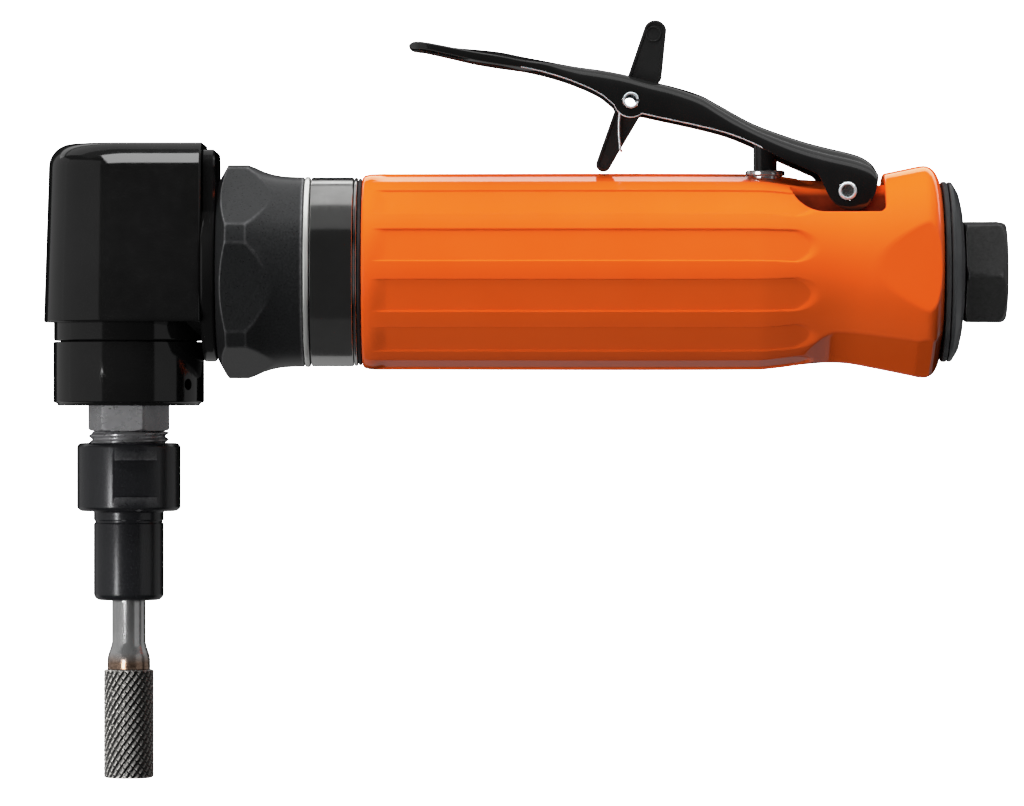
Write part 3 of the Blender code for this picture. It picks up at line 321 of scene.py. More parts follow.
def rounded(profile, size=0.2, steps=3, closed=True):
    """The profile with each of its corners off the axis rounded."""
    points = [Vector(p) for p in profile]
    count, made = len(points), []
    for i, corner in enumerate(points):
        before, after = points[i - 1] - corner, points[(i + 1) % count] - corner
        kept = corner.y == 0 or (not closed and i in (0, count - 1))
        if kept or min(before.length, after.length) < 1e-6 or before.angle(-after) < math.radians(SOFT_BEND):
            made.append(tuple(corner))
            continue
        reach = min(size, before.length * 0.45, after.length * 0.45)
        start, end = corner + before.normalized() * reach, corner + after.normalized() * reach
        for k in range(steps + 1):
            t = k / steps
            made.append(tuple(start * (1 - t) ** 2 + corner * 2 * t * (1 - t) + end * t**2))
    return made


def dense(profile, step):
    """The profile with long stretches cut into pieces no longer than step."""
    made = []
    for (a, r), (b, s) in zip(profile, profile[1:]):
        pieces = max(1, math.ceil(math.hypot(b - a, s - r) / step))
        made += [(a + (b - a) * k / pieces, r + (s - r) * k / pieces) for k in range(pieces)]
    return made + [profile[-1]]


def spread(start, end, step):
    """Even stations from start to end, about a step apart."""
    count = max(1, round((end - start) / step))
    return [start + (end - start) * i / count for i in range(count + 1)]


def lathe(name, profile, axis, material, columns, shape=None, sharp_deg=32):
    """A turned piece. columns is their number, or their angles. shape, if given, is a function of
    (along, radius, angles) that gives the radii of one row."""
    origin, along, zero, quarter = (np.array(v, float) for v in AXES[axis])
    angles = np.arange(columns) * 2 * math.pi / columns if isinstance(columns, int) else columns
    columns = len(angles)
    spoke = np.outer(np.cos(angles), zero) + np.outer(np.sin(angles), quarter)
    points, rows = [], []
    for a, r in profile:
        if r == 0:
            rows.append([len(points)])
            points.append(origin + along * a)
            continue
        radii = np.full(columns, r) if shape is None else shape(a, r, angles)
        rows.append(list(range(len(points), len(points) + columns)))
        points.extend(origin + along * a + spoke * radii[:, None])
    open_ended = profile[0][1] == 0 and profile[-1][1] == 0
    faces = []
    for row, after in zip(rows, rows[1:] + ([] if open_ended else rows[:1])):
        for i in range(columns):
            k = (i + 1) % columns
            if len(row) == 1 and len(after) > 1:
                faces.append((row[0], after[k], after[i]))
            elif len(after) == 1 and len(row) > 1:
                faces.append((row[i], row[k], after[0]))
            elif len(row) > 1:
                faces.append((row[i], row[k], after[k], after[i]))
    return add_piece(name, points, faces, material, sharp_deg)


def loft(name, rings, material, sharp_deg=32, capped=(0, -1)):
    """A skin over rings of points, which all have the same count. capped says which rings a face closes."""
    count = len(rings[0])
    rows = [range(r * count, (r + 1) * count) for r in range(len(rings))]
    faces = [
        (row[i], row[(i + 1) % count], after[(i + 1) % count], after[i])
        for row, after in zip(rows, rows[1:])
        for i in range(count)
    ]
    faces += [tuple(rows[end]) for end in capped]
    return add_piece(name, [p for ring in rings for p in ring], faces, material, sharp_deg)


def tube(name, points, radius, material, sides=12):
    """A round wire along a line of points, with closed ends."""
    points = [Vector(p) for p in points]
    rings = []
    normal = Vector((0.3, 1, 0.2))
    for i, point in enumerate(points):
        way = (points[min(i + 1, len(points) - 1)] - points[max(i - 1, 0)]).normalized()
        normal = (normal - way * normal.dot(way)).normalized()
        side = way.cross(normal)
        angles = [2 * math.pi * k / sides for k in range(sides)]
        rings.append([point + (normal * math.cos(a) + side * math.sin(a)) * radius for a in angles])
    return loft(name, rings, material, 50)


def curve_through(points, per_span):
    """Points on a smooth line through points."""
    points = [Vector(p) for p in points]
    ends = [points[0] * 2 - points[1]] + points + [points[-1] * 2 - points[-2]]
    made = []
    for a, b, c, d in zip(ends, ends[1:], ends[2:], ends[3:]):
        for k in range(per_span):
            t = k / per_span
            made.append(
                0.5 * (b * 2 + (c - a) * t + (a * 2 - b * 5 + c * 4 - d) * t**2 + (b * 3 - a - c * 3 + d) * t**3)
            )
    return made + [points[-1]]


def arc(centre, radius, from_deg, to_deg, pieces):
    turns = [math.radians(from_deg + (to_deg - from_deg) * i / pieces) for i in range(pieces + 1)]
    return [(centre[0] + radius * math.cos(a), centre[1] + radius * math.sin(a)) for a in turns]


def pin(name, axis, start, end, radius, columns=64):
    """A round cutter."""
    return lathe(name, [(start, 0), (start, radius), (end, radius), (end, 0)], axis, None, columns)


def carve(obj, *cutters, sharp_deg=32):
    """Cuts the cutters out of the object, then removes them."""
    for cutter in cutters:
        modifier = obj.modifiers.new("carve", "BOOLEAN")
        modifier.operation = "DIFFERENCE"
        modifier.solver = "EXACT"
        modifier.object = cutter
    bpy.context.view_layer.update()
    made = bpy.data.meshes.new_from_object(obj.evaluated_get(bpy.context.evaluated_depsgraph_get()))
    obj.modifiers.clear()
    obj.data = made
    made.shade_smooth()
    made.set_sharp_from_angle(angle=math.radians(sharp_deg))
    for cutter in cutters:
        bpy.data.objects.remove(cutter)


def smooth_line(points, x):
    """The value at x of a smooth line through (x, value) points, which stays between its points."""
    ends = [points[0]] + points + [points[-1]]
    for before, low, high, after in zip(ends, ends[1:], ends[2:], ends[3:]):
        if low[0] <= x <= high[0] and low[0] < high[0]:
            break
    run, rise = high[0] - low[0], high[1] - low[1]
    share = (x - low[0]) / run
    curve_low = (high[1] - before[1]) / (high[0] - before[0]) * run - rise
    curve_high = rise - (after[1] - low[1]) / (after[0] - low[0]) * run
    return low[1] + share * rise + share * (1 - share) * ((1 - share) * curve_low + share * curve_high)


def soft_min(a, b, size):
    """The smaller of two, with the crease where they meet rounded off."""
    share = np.clip(0.5 + 0.5 * (b - a) / size, 0, 1)
    return b * (1 - share) + a * share - size * share * (1 - share) * 0.5


def step_up(value, low, high):
    share = np.clip((value - low) / (high - low), 0, 1)
    return share * share * (3 - 2 * share)


def turned(name, profile, axis, material, columns, body, slot, *nodes):
    """A turned piece that needs no cutting."""
    finish_piece(lathe(name, profile, axis, material, columns), body, slot, *nodes)


def heading(degrees):
    """A direction seen from above."""
    turn = math.radians(degrees)
    return Vector((math.cos(turn), math.sin(turn), 0))


def around(angles, first_deg, pitch_deg):
    """Each angle's distance from the nearest of the directions first, first + pitch, and so on."""
    pitch = math.radians(pitch_deg)
    return (angles - math.radians(first_deg) + pitch / 2) % pitch - pitch / 2


# --- Handle ---
HANDLE_LINE = [(-55.5, 17.8), (-55.1, 18.25), (-53.5, 18.55), (-50.0, 18.6), (19.0, 18.6), (23.5, 18.2)]
HANDLE_LINE += [(28.0, 17.6), (32.5, 17.25), (36.5, 17.4), (41.5, 18.3), (46.7, 19.35), (50.5, 20.1)]
HANDLE_LINE += [(51.6, 20.0), (52.7, 19.3), (53.5, 18.0), (54.0, 16.4)]
# Where a flute runs in, its rear, half its width, its depth, and how much longer than wide its rear end is
FLUTE_FRONT, FLUTE_REAR, FLUTE_HALF, FLUTE_DEPTH, FLUTE_END = (-54.0, -50.5), 31.0, 3.2, 0.55, 1.55
# The pocket for the lever's ears: its ends, half its width, its floor, and the round of its rim. Then the arcs
# of its floor: x, height, radius
POCKET_FRONT, POCKET_REAR, POCKET_WALL, POCKET_FLOOR, RIM = 24.9, 43.1, 8.0, 11.1, 0.45
FRONT_ARC, REAR_ARC = (31.9, 18.1, 7.0), (41.9, 12.3, 1.2)
# The notch between the ears: where it starts, where its floor steps down, and the two heights of its floor
NOTCH_FRONT, NOTCH_STEP, NOTCH_HIGH, NOTCH_LOW = 27.0, 39.3, 17.5, 16.2
# The flared end's flats: which way they face in degrees, their distance from the axis, and where they start
SIDE_FLATS, LOWER_FLATS, FLARE_APOTHEM = (2, 178), (245, 295), 18.28
SIDE_FLATS_FROM, LOWER_FLATS_FROM, LOWER_FLATS_FULL = 36.0, 27.0, 34.0
# Angles across half of one flute and its land, close together at the flute's wall
FLUTE_ANGLES = (0, 1.1, 2.2, 3.3, 4.4, 5.5, 6.6, 7.6, 8.4, 8.8, 9.05, 9.3, 9.55, 9.8, 9.95, 10.3, 11, 12, 13, 14)


def pocket_floor(x):
    """The height of the pocket's floor, whose front and rear rise in arcs."""
    x = min(x, POCKET_REAR)
    if FRONT_ARC[0] <= x <= REAR_ARC[0]:
        return POCKET_FLOOR
    middle, up, radius = FRONT_ARC if x < FRONT_ARC[0] else REAR_ARC
    return up - math.sqrt(max(radius**2 - (x - middle) ** 2, 0))


def pocket_radius(x, angles):
    """How far out the pocket and the notch between the lever's ears leave the handle solid."""
    up = np.maximum(np.sin(angles), 1e-3)
    across = np.maximum(np.abs(np.cos(angles)), 1e-3)
    pocket = np.maximum(pocket_floor(x) / up, POCKET_WALL / across)
    notch_z = NOTCH_LOW if x > NOTCH_STEP else NOTCH_HIGH
    notch = notch_z / up if x >= NOTCH_FRONT else np.full(len(angles), FAR)
    return np.minimum(pocket, notch)


def handle_radii(x, radius, angles):
    centre = around(angles, 15, 30)
    aside = np.abs(radius * np.sin(centre))
    beyond = max(x - (FLUTE_REAR - FLUTE_HALF * FLUTE_END), 0) / FLUTE_END
    outside = np.hypot(beyond, aside) - FLUTE_HALF
    flute = np.minimum((radius - FLUTE_DEPTH) / np.cos(centre), radius)
    wall = step_up(outside, -0.25 - 0.8 * beyond, 0.0)
    run_in = step_up(x, *FLUTE_FRONT)
    out = radius + (flute - radius) * (1 - wall) * run_in
    flats = [(degrees, FLARE_APOTHEM) for degrees in SIDE_FLATS if x > SIDE_FLATS_FROM]
    waist = min(FLARE_APOTHEM, radius * (1 - 0.08 * step_up(x, LOWER_FLATS_FROM, LOWER_FLATS_FULL)))
    flats += [(degrees, waist) for degrees in LOWER_FLATS if x > LOWER_FLATS_FROM]
    for degrees, apothem in flats:
        facing = np.cos(angles - math.radians(degrees))
        flat = np.where(facing > 0.5, apothem / np.maximum(facing, 0.5), FAR)
        out = soft_min(out, flat, 0.3)
    if POCKET_FRONT <= x <= POCKET_REAR:
        return soft_min(out, pocket_radius(x, angles), RIM)
    if POCKET_REAR < x < POCKET_REAR + RIM:
        open_to = pocket_radius(POCKET_REAR, angles)
        turn = (POCKET_REAR + RIM - x) / RIM
        dip = RIM * (1 - math.sqrt(1 - turn**2))
        return out - dip * step_up(out - open_to, 0.0, RIM)
    return out


def make_handle():
    stations = spread(-55.5, -54.9, 0.1) + spread(-54.8, -50.0, 0.3) + spread(-47.0, 18.0, 5.0)
    stations += spread(18.6, 27.2, 0.4) + spread(27.4, 32.0, 0.22) + spread(32.4, 41.8, 0.4)
    stations += spread(41.9, 43.05, 0.14) + [43.099, 43.101, 43.12, 43.16, 43.22, 43.3, 43.4, 43.55]
    stations += spread(43.8, 50.0, 0.4) + spread(50.2, 54.0, 0.16)
    outer = [(x, smooth_line(HANDLE_LINE, x)) for x in stations]
    inside = [(54.0, 7.6), (53.7, 7.25), (35.5, 7.25), (35.5, 0)]
    profile = [(4.6, 0), (4.6, 14.8), (-55.2, 14.8), (-55.5, 15.1)] + outer + inside
    first, last = stations[0], stations[-1]

    def shape(x, radius, angles):
        on_outside = first <= x <= last and radius > 16.0
        return handle_radii(x, radius, angles) if on_outside else np.full(len(angles), radius)

    halves = FLUTE_ANGLES + (15,) + tuple(-a for a in FLUTE_ANGLES[1:])
    angles = np.radians(np.sort([15 + 30 * i + a for i in range(12) for a in halves]))
    handle = lathe("handle_shell", profile, "motor", ORANGE, angles, shape, sharp_deg=40)
    carve(
        handle,
        pin("cut_valve", "stem", -9.0, 30.0, 3.35),
        pin("cut_spot", "stem", 18.15, 30.0, 4.2),
        pin("cut_pin", "lever_pin", -12, 12, PIVOT_BORE, columns=48),
        sharp_deg=40,
    )
    finish_piece(handle, "housing", "orange_housing", "handle_housing")


# --- Clamp sleeve, rings and coupling nut ---
# Degrees to a corner, half the width over the flats, and a radius that only the outside is beyond
NUT_CORNER, NUT_FLATS, NUT_BORE = 20, 18.45, 16.8


def hexagon_radii(angles, half_flats, corner_deg):
    return half_flats / np.cos(around(angles, corner_deg + 30, 60))


def make_coupling():
    waist = [(-77.2, 20.3), (-75.6, 19.62), (-74.0, 18.93), (-72.0, 18.38), (-70.0, 18.1), (-66.7, 17.98)]
    waist = [(x, smooth_line(waist, x)) for x in spread(-77.2, -66.7, 0.3)]
    front = [(-82.9, 13.2), (-82.9, 16.7), (-82.7, 17.2), (-81.0, 20.3), (-77.2, 20.3)]
    front = dense(rounded(front, closed=False), 0.25)
    profile = front + waist[1:] + [(-66.6, 17.85), (-66.6, 15.55), (-76.6, 15.55), (-76.6, 13.2)]

    def shape(x, radius, angles):
        if radius > NUT_BORE:
            return soft_min(radius, hexagon_radii(angles, NUT_FLATS, NUT_CORNER), 0.22)
        return np.full(len(angles), radius)

    nut = lathe("coupling_nut_body", profile, "motor", NUT_BLACK, 360, shape, sharp_deg=24)
    finish_piece(nut, "housing", "black_oxide_steel", "coupling_nut")
    sleeve = [(-72.5, 12.2), (-72.5, 15.3), (-65.2, 15.3), (-65.2, 17.93), (-57.2, 17.93), (-57.2, 14.6)]
    sleeve = rounded(sleeve + [(-46.6, 14.6), (-46.6, 12.2)], 0.25)
    turned("clamp_band", sleeve, "motor", SLEEVE_STEEL, 160, "housing", "polished_steel", "clamp_sleeve")
    washer = rounded([(-66.45, 15.5), (-66.45, 18.08), (-65.4, 18.08), (-65.4, 15.5)], 0.45, 5)
    turned("bright_ring", washer, "motor", RING_STEEL, 160, "housing", "bright_steel", "thrust_washer")
    edge = rounded([(-57.0, 14.9), (-57.05, 17.88), (-56.45, 17.88), (-56.45, 14.9)], 0.25, 4)
    turned("edge_ring", edge, "motor", SLEEVE_STEEL, 160, "housing", "polished_steel", "sleeve_edge_ring")
    seal = rounded([(-56.3, 14.95), (-56.3, 17.72), (-55.65, 17.72), (-55.65, 14.95)], 0.3, 4)
    turned("black_ring", seal, "motor", RUBBER, 160, "housing", "black_rubber", "sleeve_seal_ring")


# --- Angle head ---
# The nose's radius at the bottom and at the top, and the casting's heights and rear face
HEAD_LOW, HEAD_HIGH, HEAD_BOTTOM, HEAD_TOP, HEAD_REAR = 16.1, 15.0, -9.6, 24.2, 14.35
HEAD_FILLET, HEAD_LOWER_EDGE, HEAD_CORNER = 4.3, 0.4, 0.6
COLLAR_HALF, COLLAR_TOP, COLLAR_CORNER = 13.0, 22.9, 3.5


def head_ring(z, inset):
    """The head seen from above: a half round nose, and straight sides back to rounded rear corners."""
    share = (z - HEAD_BOTTOM) / (HEAD_TOP - HEAD_BOTTOM)
    radius = HEAD_LOW + (HEAD_HIGH - HEAD_LOW) * share - inset
    corner_x, corner_y = HEAD_REAR - HEAD_CORNER, radius - HEAD_CORNER
    points = arc((0, 0), radius, 90, 270, 64)
    points += [(HEAD_REAR * i / 8, -radius) for i in range(1, 8)]
    points += arc((corner_x, -corner_y), HEAD_CORNER, 270, 360, 5)
    points += arc((corner_x, corner_y), HEAD_CORNER, 0, 90, 5)
    points += [(HEAD_REAR * i / 8, radius) for i in range(7, 0, -1)]
    return [(SPINDLE_X + x, y, z) for x, y in points]


def cut_pinion_bore():
    return pin("cut_pinion", "motor", -101, -80, 8.4)


def make_head():
    turns = np.linspace(0, math.pi / 2, 5)
    round_low = [(HEAD_LOWER_EDGE * (1 - math.cos(t)), HEAD_LOWER_EDGE * (1 - math.sin(t))) for t in turns]
    rings = [head_ring(HEAD_BOTTOM, 1.2)] + [head_ring(HEAD_BOTTOM + up, inset) for up, inset in round_low]
    rings += [head_ring(z, 0) for z in spread(HEAD_BOTTOM + 0.9, HEAD_TOP - HEAD_FILLET - 0.4, 4.0)]
    for t in np.linspace(0, math.pi / 2, 14):
        z = HEAD_TOP - HEAD_FILLET + HEAD_FILLET * math.sin(t)
        rings.append(head_ring(z, HEAD_FILLET * (1 - math.cos(t))))
    rings.append(head_ring(HEAD_TOP, HEAD_FILLET + 0.8))
    head = loft("head_casting", rings, HEAD_BLACK)
    carve(head, pin("cut_chamber", "spindle", -20, 18.4, 11.2), cut_pinion_bore())
    finish_piece(head, "housing", "gloss_black_enamel", "angle_head")
    boss = rounded([(-13.1, 13.25), (-13.1, 14.2), (-9.3, 14.2), (-9.3, 13.25)], 0.35, 4)
    turned("head_boss", boss, "spindle", HEAD_BLACK, 144, "housing", "gloss_black_enamel")
    top = arc((COLLAR_HALF - COLLAR_CORNER, COLLAR_TOP - COLLAR_CORNER), COLLAR_CORNER, 0, 90, 10)
    outline = [(COLLAR_HALF, -6)] + top + [(-y, z) for y, z in reversed(top)] + [(-COLLAR_HALF, -6)]
    inner = [(y * 0.97, z - 0.35) for y, z in outline]
    rows = [(-85.5, inner), (-85.25, outline), (-83.45, outline), (-83.12, inner)]
    block = loft("collar_block", [[(x, y, z) for y, z in line] for x, line in rows], HEAD_BLACK)
    carve(block, cut_pinion_bore())
    finish_piece(block, "housing", "gloss_black_enamel")
    disc = [(-90, 8.4), (-90, 12.9), (-85.7, 12.9), (-85.7, 17.05), (-83.1, 17.05), (-83.1, 12.9), (-76.3, 12.9)]
    disc += [(-76.3, 15.3), (-73.0, 15.3), (-73.0, 12.0), (-72.7, 12.0), (-72.7, 8.4)]
    turned("collar_disc", rounded(disc, 0.7, 5), "motor", HEAD_BLACK, 160, "housing", "gloss_black_enamel")


# --- Spindle cap, spindle, collet cap and burr ---
SPANNER_HOLES = (-35.0, 145.0)


def make_spindle_cap():
    profile = [(-25.4, 8.4), (-25.4, 13.4), (-24.9, 13.65), (-24.75, 14.3), (-13.3, 14.3), (-13.3, 12.9)]
    profile += [(-8.0, 12.9), (-8.0, 12.15), (-19.8, 12.15), (-19.8, 11.9), (-23.2, 11.9), (-23.2, 8.4)]
    cap = lathe("spindle_cap_body", rounded(profile, 0.25), "spindle", HEAD_BLACK, 160)
    centre = Vector((SPINDLE_X, 0, -21.4))
    holes = [[centre + heading(degrees) * r for r in (12.9, 16)] for degrees in SPANNER_HOLES]
    carve(cap, *[tube("cut_spanner", line, 1.1, None, 32) for line in holes])
    finish_piece(cap, "housing", "gloss_black_enamel", "spindle_cap")


THREAD_PITCH, SPINDLE_THREAD, INLET_THREAD = 1.3, 0.62, 0.35
# The two hexagons: half the width over the flats, and degrees to a corner
SPINDLE_HEX, INLET_HEX = (6.8, -7.4), (9.25, 55)


def thread_phase(along, angles):
    """How far a place is round its own turn of the thread, from 0 to 1."""
    return (along / THREAD_PITCH - angles / (2 * math.pi)) % 1.0


def spindle_radii(z, radius, angles):
    if -30.2 < z < -24.9 and radius > 6.9:
        return soft_min(np.full(len(angles), radius), hexagon_radii(angles, *SPINDLE_HEX), 0.12)
    if -45.0 < z <= -30.2 and radius > 6.0:
        ridge = np.clip(1.6 * (1 - np.abs(2 * thread_phase(z, angles) - 1)) - 0.3, 0, 1)
        return radius - SPINDLE_THREAD * (1 - ridge)
    return np.full(len(angles), radius)


def make_spindle():
    hexagon = dense([(-30.15, 7.1), (-30.0, 7.6), (-29.8, 7.86), (-25.3, 7.86), (-25.05, 7.6)], 0.4)
    thread = dense([(-44.9, 7.3), (-44.4, 7.58), (-30.4, 7.58)], 0.11)
    profile = [(-45.0, 5.3)] + thread + [(-30.25, 6.96)] + hexagon + [(-25.0, 6.8), (-19.9, 6.8), (-19.9, 6.0)]
    profile += [(-11.0, 6.0), (-11.0, 4.0), (11.4, 4.0), (11.4, 4.8), (12.6, 4.8), (12.6, 3.0), (17.9, 3.0)]
    profile += [(17.9, 1.2), (-33.0, 1.2), (-33.0, 4.3)]
    spindle = lathe("spindle_body", profile, "spindle", HEX_STEEL, 144, spindle_radii, sharp_deg=28)
    finish_piece(spindle, "spindle_group", "bright_steel", "spindle")


# The two wrench flats: degrees, lower and upper end, and distance from the axis
COLLET_FLATS, COLLET_FLAT_Z, COLLET_FLAT_APOTHEM = (-77.7, 102.3), (-42.7, -35.7), 8.75


def make_collet_cap():
    nose = [(-62.3, 3.6), (-62.3, 5.75), (-61.9, 6.35), (-61.3, 6.63), (-47.75, 6.63), (-47.65, 6.4), (-47.2, 6.4)]
    nose += [(-47.1, 6.63), (-45.45, 6.63), (-45.4, 9.1), (-44.8, 9.82), (-33.1, 9.82), (-32.5, 9.3)]
    inner = [(-32.5, 7.8), (-45.3, 7.8), (-45.3, 5.2), (-56.5, 5.2), (-59.9, 4.0), (-59.9, 3.6)]
    cap = lathe("collet_cap_body", rounded(nose + inner, 0.3, 4), "spindle", COLLET_BLACK, 144)
    cutters = []
    low, high = COLLET_FLAT_Z
    for degrees in COLLET_FLATS:
        out = heading(degrees)
        side = Vector((-out.y, out.x, 0))
        corners = [side * s + Vector((0, 0, z)) for s, z in ((-8, low), (8, low), (8, high), (-8, high))]
        rows = [[Vector((SPINDLE_X, 0, 0)) + out * d + c for c in corners] for d in (COLLET_FLAT_APOTHEM, 14)]
        cutters.append(loft("cut_flat", rows, None))
    carve(cap, *cutters)
    finish_piece(cap, "spindle_group", "black_oxide_steel", "collet_cap")


BURR_RADIUS, BURR_TOP, BURR_TIP = 4.74, -75.5, -96.1
# The two ways the teeth run: how many flutes, the turns of each in a millimetre, and how deep it is cut
MAIN_FLUTES, MAIN_TURNS, MAIN_DEPTH = 24, 0.024, 0.55
CROSS_FLUTES, CROSS_TURNS, CROSS_DEPTH = 16, -0.034, 0.4


def burr_radii(z, radius, angles):
    if not BURR_TIP + 0.05 < z < BURR_TOP - 0.02 or radius < 3.0:
        return np.full(len(angles), radius)
    turns = angles / (2 * math.pi)
    main = (MAIN_FLUTES * (turns - MAIN_TURNS * z)) % 1.0
    cross = (CROSS_FLUTES * (turns - CROSS_TURNS * z)) % 1.0
    main_cut = np.clip(1 - main * 1.5, 0, 1) + np.clip((main - 0.9) * 10, 0, 1)
    cross_cut = np.clip(1 - np.abs(cross - 0.5) * 7.0, 0, 1)
    fade = min(1.0, (BURR_TOP - z) / 0.4, (z - BURR_TIP) / 0.3)
    return radius - fade * np.maximum(MAIN_DEPTH * main_cut, CROSS_DEPTH * cross_cut)


def make_burr():
    neck = [(-75.45, 4.02), (-75.3, 4.06), (-73.7, 4.05), (-73.0, 3.98), (-72.2, 3.74), (-71.2, 3.4), (-70.3, 3.18)]
    shank = [(-75.45, 0)] + neck + [(-38.5, 3.175), (-38.0, 2.7), (-38.0, 0)]
    turned("burr_shank", shank, "spindle", BURR_STEEL, 96, "spindle_group", "carbide", "burr")
    body = dense([(BURR_TIP + 0.35, BURR_RADIUS), (BURR_TOP - 0.35, BURR_RADIUS)], 0.11)
    profile = [(BURR_TIP, 0), (BURR_TIP, 2.0), (BURR_TIP, 3.9), (BURR_TIP + 0.06, 4.4), (BURR_TIP + 0.18, 4.64)]
    profile += body + [(BURR_TOP - 0.15, 4.64), (BURR_TOP - 0.02, 4.4), (BURR_TOP, 4.1), (BURR_TOP, 0)]
    head = lathe("burr_head", profile, "spindle", CARBIDE, 300, burr_radii, sharp_deg=25)
    finish_piece(head, "spindle_group", "carbide")


# --- Inlet and exhaust ---
def make_inlet():
    outside = [(36.0, 4.5), (36.0, 7.1), (58.5, 7.1)]
    hexagon = dense([(58.6, 9.9), (58.9, 10.42), (65.2, 10.68), (66.5, 8.95)], 0.35)
    port = [(66.5, 6.6), (65.6, 5.75)] + dense([(65.5, 5.65), (52.0, 5.65)], 0.22) + [(50.0, 5.65), (50.0, 4.5)]

    def shape(x, radius, angles):
        if x >= 58.55 and radius > 8.0:
            return soft_min(np.full(len(angles), radius), hexagon_radii(angles, *INLET_HEX), 0.2)
        if 52.0 <= x <= 65.5 and radius < 6.0:
            return radius + INLET_THREAD * np.clip(1.4 * np.abs(2 * thread_phase(x, angles) - 1) - 0.2, 0, 1)
        return np.full(len(angles), radius)

    inlet = lathe("inlet_hexagon", outside + hexagon + port, "motor", INLET_BLACK, 180, shape, sharp_deg=24)
    finish_piece(inlet, "housing", "black_oxide_steel", "inlet_bushing")


VENTS, VENT_CIRCLE = 8, 12.2


def make_exhaust():
    gasket = rounded([(54.2, 15.0), (54.2, 17.12), (55.2, 17.12), (55.2, 15.0)], 0.3, 4)
    turned("gasket_ring", gasket, "motor", RUBBER, 160, "housing", "black_rubber", "exhaust_gasket")
    dome = [(56.1, 17.08), (57.3, 15.1), (57.9, 12.6), (58.15, 10.5), (58.38, 8.4), (58.4, 7.4)]
    dome = [(55.4, 16.0), (55.4, 17.08)] + dome + [(57.4, 7.4), (57.15, 10.8), (56.5, 13.9), (56.0, 16.0)]
    cover = lathe("exhaust_dome", rounded(dome, 0.4, 4), "motor", COVER_BLACK, 160)
    turns = [2 * math.pi * (i + 0.5) / VENTS for i in range(VENTS)]
    places = [(VENT_CIRCLE * math.cos(turn), VENT_CIRCLE * math.sin(turn)) for turn in turns]
    carve(cover, *[tube("cut_vent", [(55, y, z), (60, y, z)], 1.0, None, 24) for y, z in places])
    finish_piece(cover, "housing", "black_polymer", "exhaust_cover")


# --- Throttle lever ---
LEVER_ROOF = [(-46.7, 42.9), (-46.2, 43.3), (-45.5, 43.45), (-43.7, 43.3), (-39.0, 42.56), (-34.2, 42.2)]
LEVER_ROOF += [(-29.45, 41.7), (-24.7, 40.75), (-20.0, 39.85), (-15.2, 38.95), (-10.45, 38.3), (-5.7, 37.4)]
LEVER_ROOF += [(-1.0, 36.2), (3.0, 35.3), (8.6, 33.5), (11.7, 31.8), (18.0, 28.3), (22.8, 26.4), (28.2, 24.6)]
LEVER_ROOF += [(32.0, 23.6), (37.7, 22.2), (39.9, 21.2), (41.3, 19.9), (41.9, 18.5)]
LEVER_EDGE = [(-46.7, 42.6), (-46.2, 42.2), (-45.5, 42.05), (-43.7, 41.9), (-39.0, 40.9), (-34.2, 39.8)]
LEVER_EDGE += [(-29.45, 39.0), (-24.7, 38.3), (-20.0, 37.2), (-15.2, 35.6), (-10.45, 33.4), (-7.0, 30.8)]
LEVER_EDGE += [(-1.6, 29.5), (12.0, 26.4), (18.0, 24.2), (24.0, 21.1), (29.0, 18.9), (30.7, 17.9), (32.0, 15.2)]
LEVER_EDGE += [(32.9, 13.6), (33.9, 12.5), (35.8, 11.6), (38.0, 11.5), (39.9, 12.3), (41.2, 14.4), (41.7, 16.3)]
LEVER_EDGE += [(41.9, 17.6)]
LEVER_WIDTH = [(-46.7, 4.6), (-44.6, 7.8), (-40.0, 9.0), (-32.0, 9.0), (-13.0, 7.7), (-6.0, 7.4)]
LEVER_WIDTH += [(4.0, 7.4), (16.0, 8.2), (28.5, 9.6), (41.9, 9.6)]
# How far the middle of the roof stands over its shoulders, and how wide the bend at a shoulder is
LEVER_CROWN = [(-46.7, 0.0), (-42.0, 0.1), (-39.0, 0.25), (-34.2, 0.85), (-29.45, 1.1), (-24.7, 1.0), (-20.0, 0.6)]
LEVER_CROWN += [(-15.0, 0.3), (-6.0, 0.3), (6.0, 0.5), (14.0, 0.9), (22.0, 1.2), (38.5, 1.2), (41.9, 0.5)]
LEVER_BEND = [(-46.7, 0.5), (-22.0, 0.6), (-15.0, 2.4), (-6.0, 2.6), (41.9, 3.0)]
# The sheet's thickness, the radius of the ear round the lock-off lever's pin, and the round of the lower edge
SHEET, LOCK_BOSS, LIP = 1.2, 3.3, 0.18


def boss_edge(x, centre, radius):
    across = x - centre[0]
    return centre[1] - math.sqrt(radius**2 - across**2) if abs(across) < radius else FAR


def quarter_bend(corner_y, corner_z, reach, pieces):
    """Points on a quarter bend, from its side to its top."""
    centre = (corner_y - reach, corner_z - reach)
    return [
        (centre[0] + reach * math.cos(t), centre[1] + reach * math.sin(t))
        for t in np.linspace(0, math.pi / 2, pieces + 1)
    ]


# Points up to the middle of the roof: the lip's, the bend's, and one for each share of the roof's half width
LIP_POINTS, BEND_PIECES, ROOF_SHARES = 4, 8, (0.98, 0.94, 0.88, 0.8, 0.68, 0.5, 0.25, 0)
HALF_POINTS = LIP_POINTS + BEND_PIECES + 1 + len(ROOF_SHARES)
# Where along the lever the lip is coloured pale as a painted highlight, and its faces on the near and the far side
HIGHLIT_FROM, HIGHLIT_TO = -26.0, 19.5
LIP_FACES = [side for k in range(LIP_POINTS - 1) for side in (k, 2 * HALF_POINTS - 3 - k)]


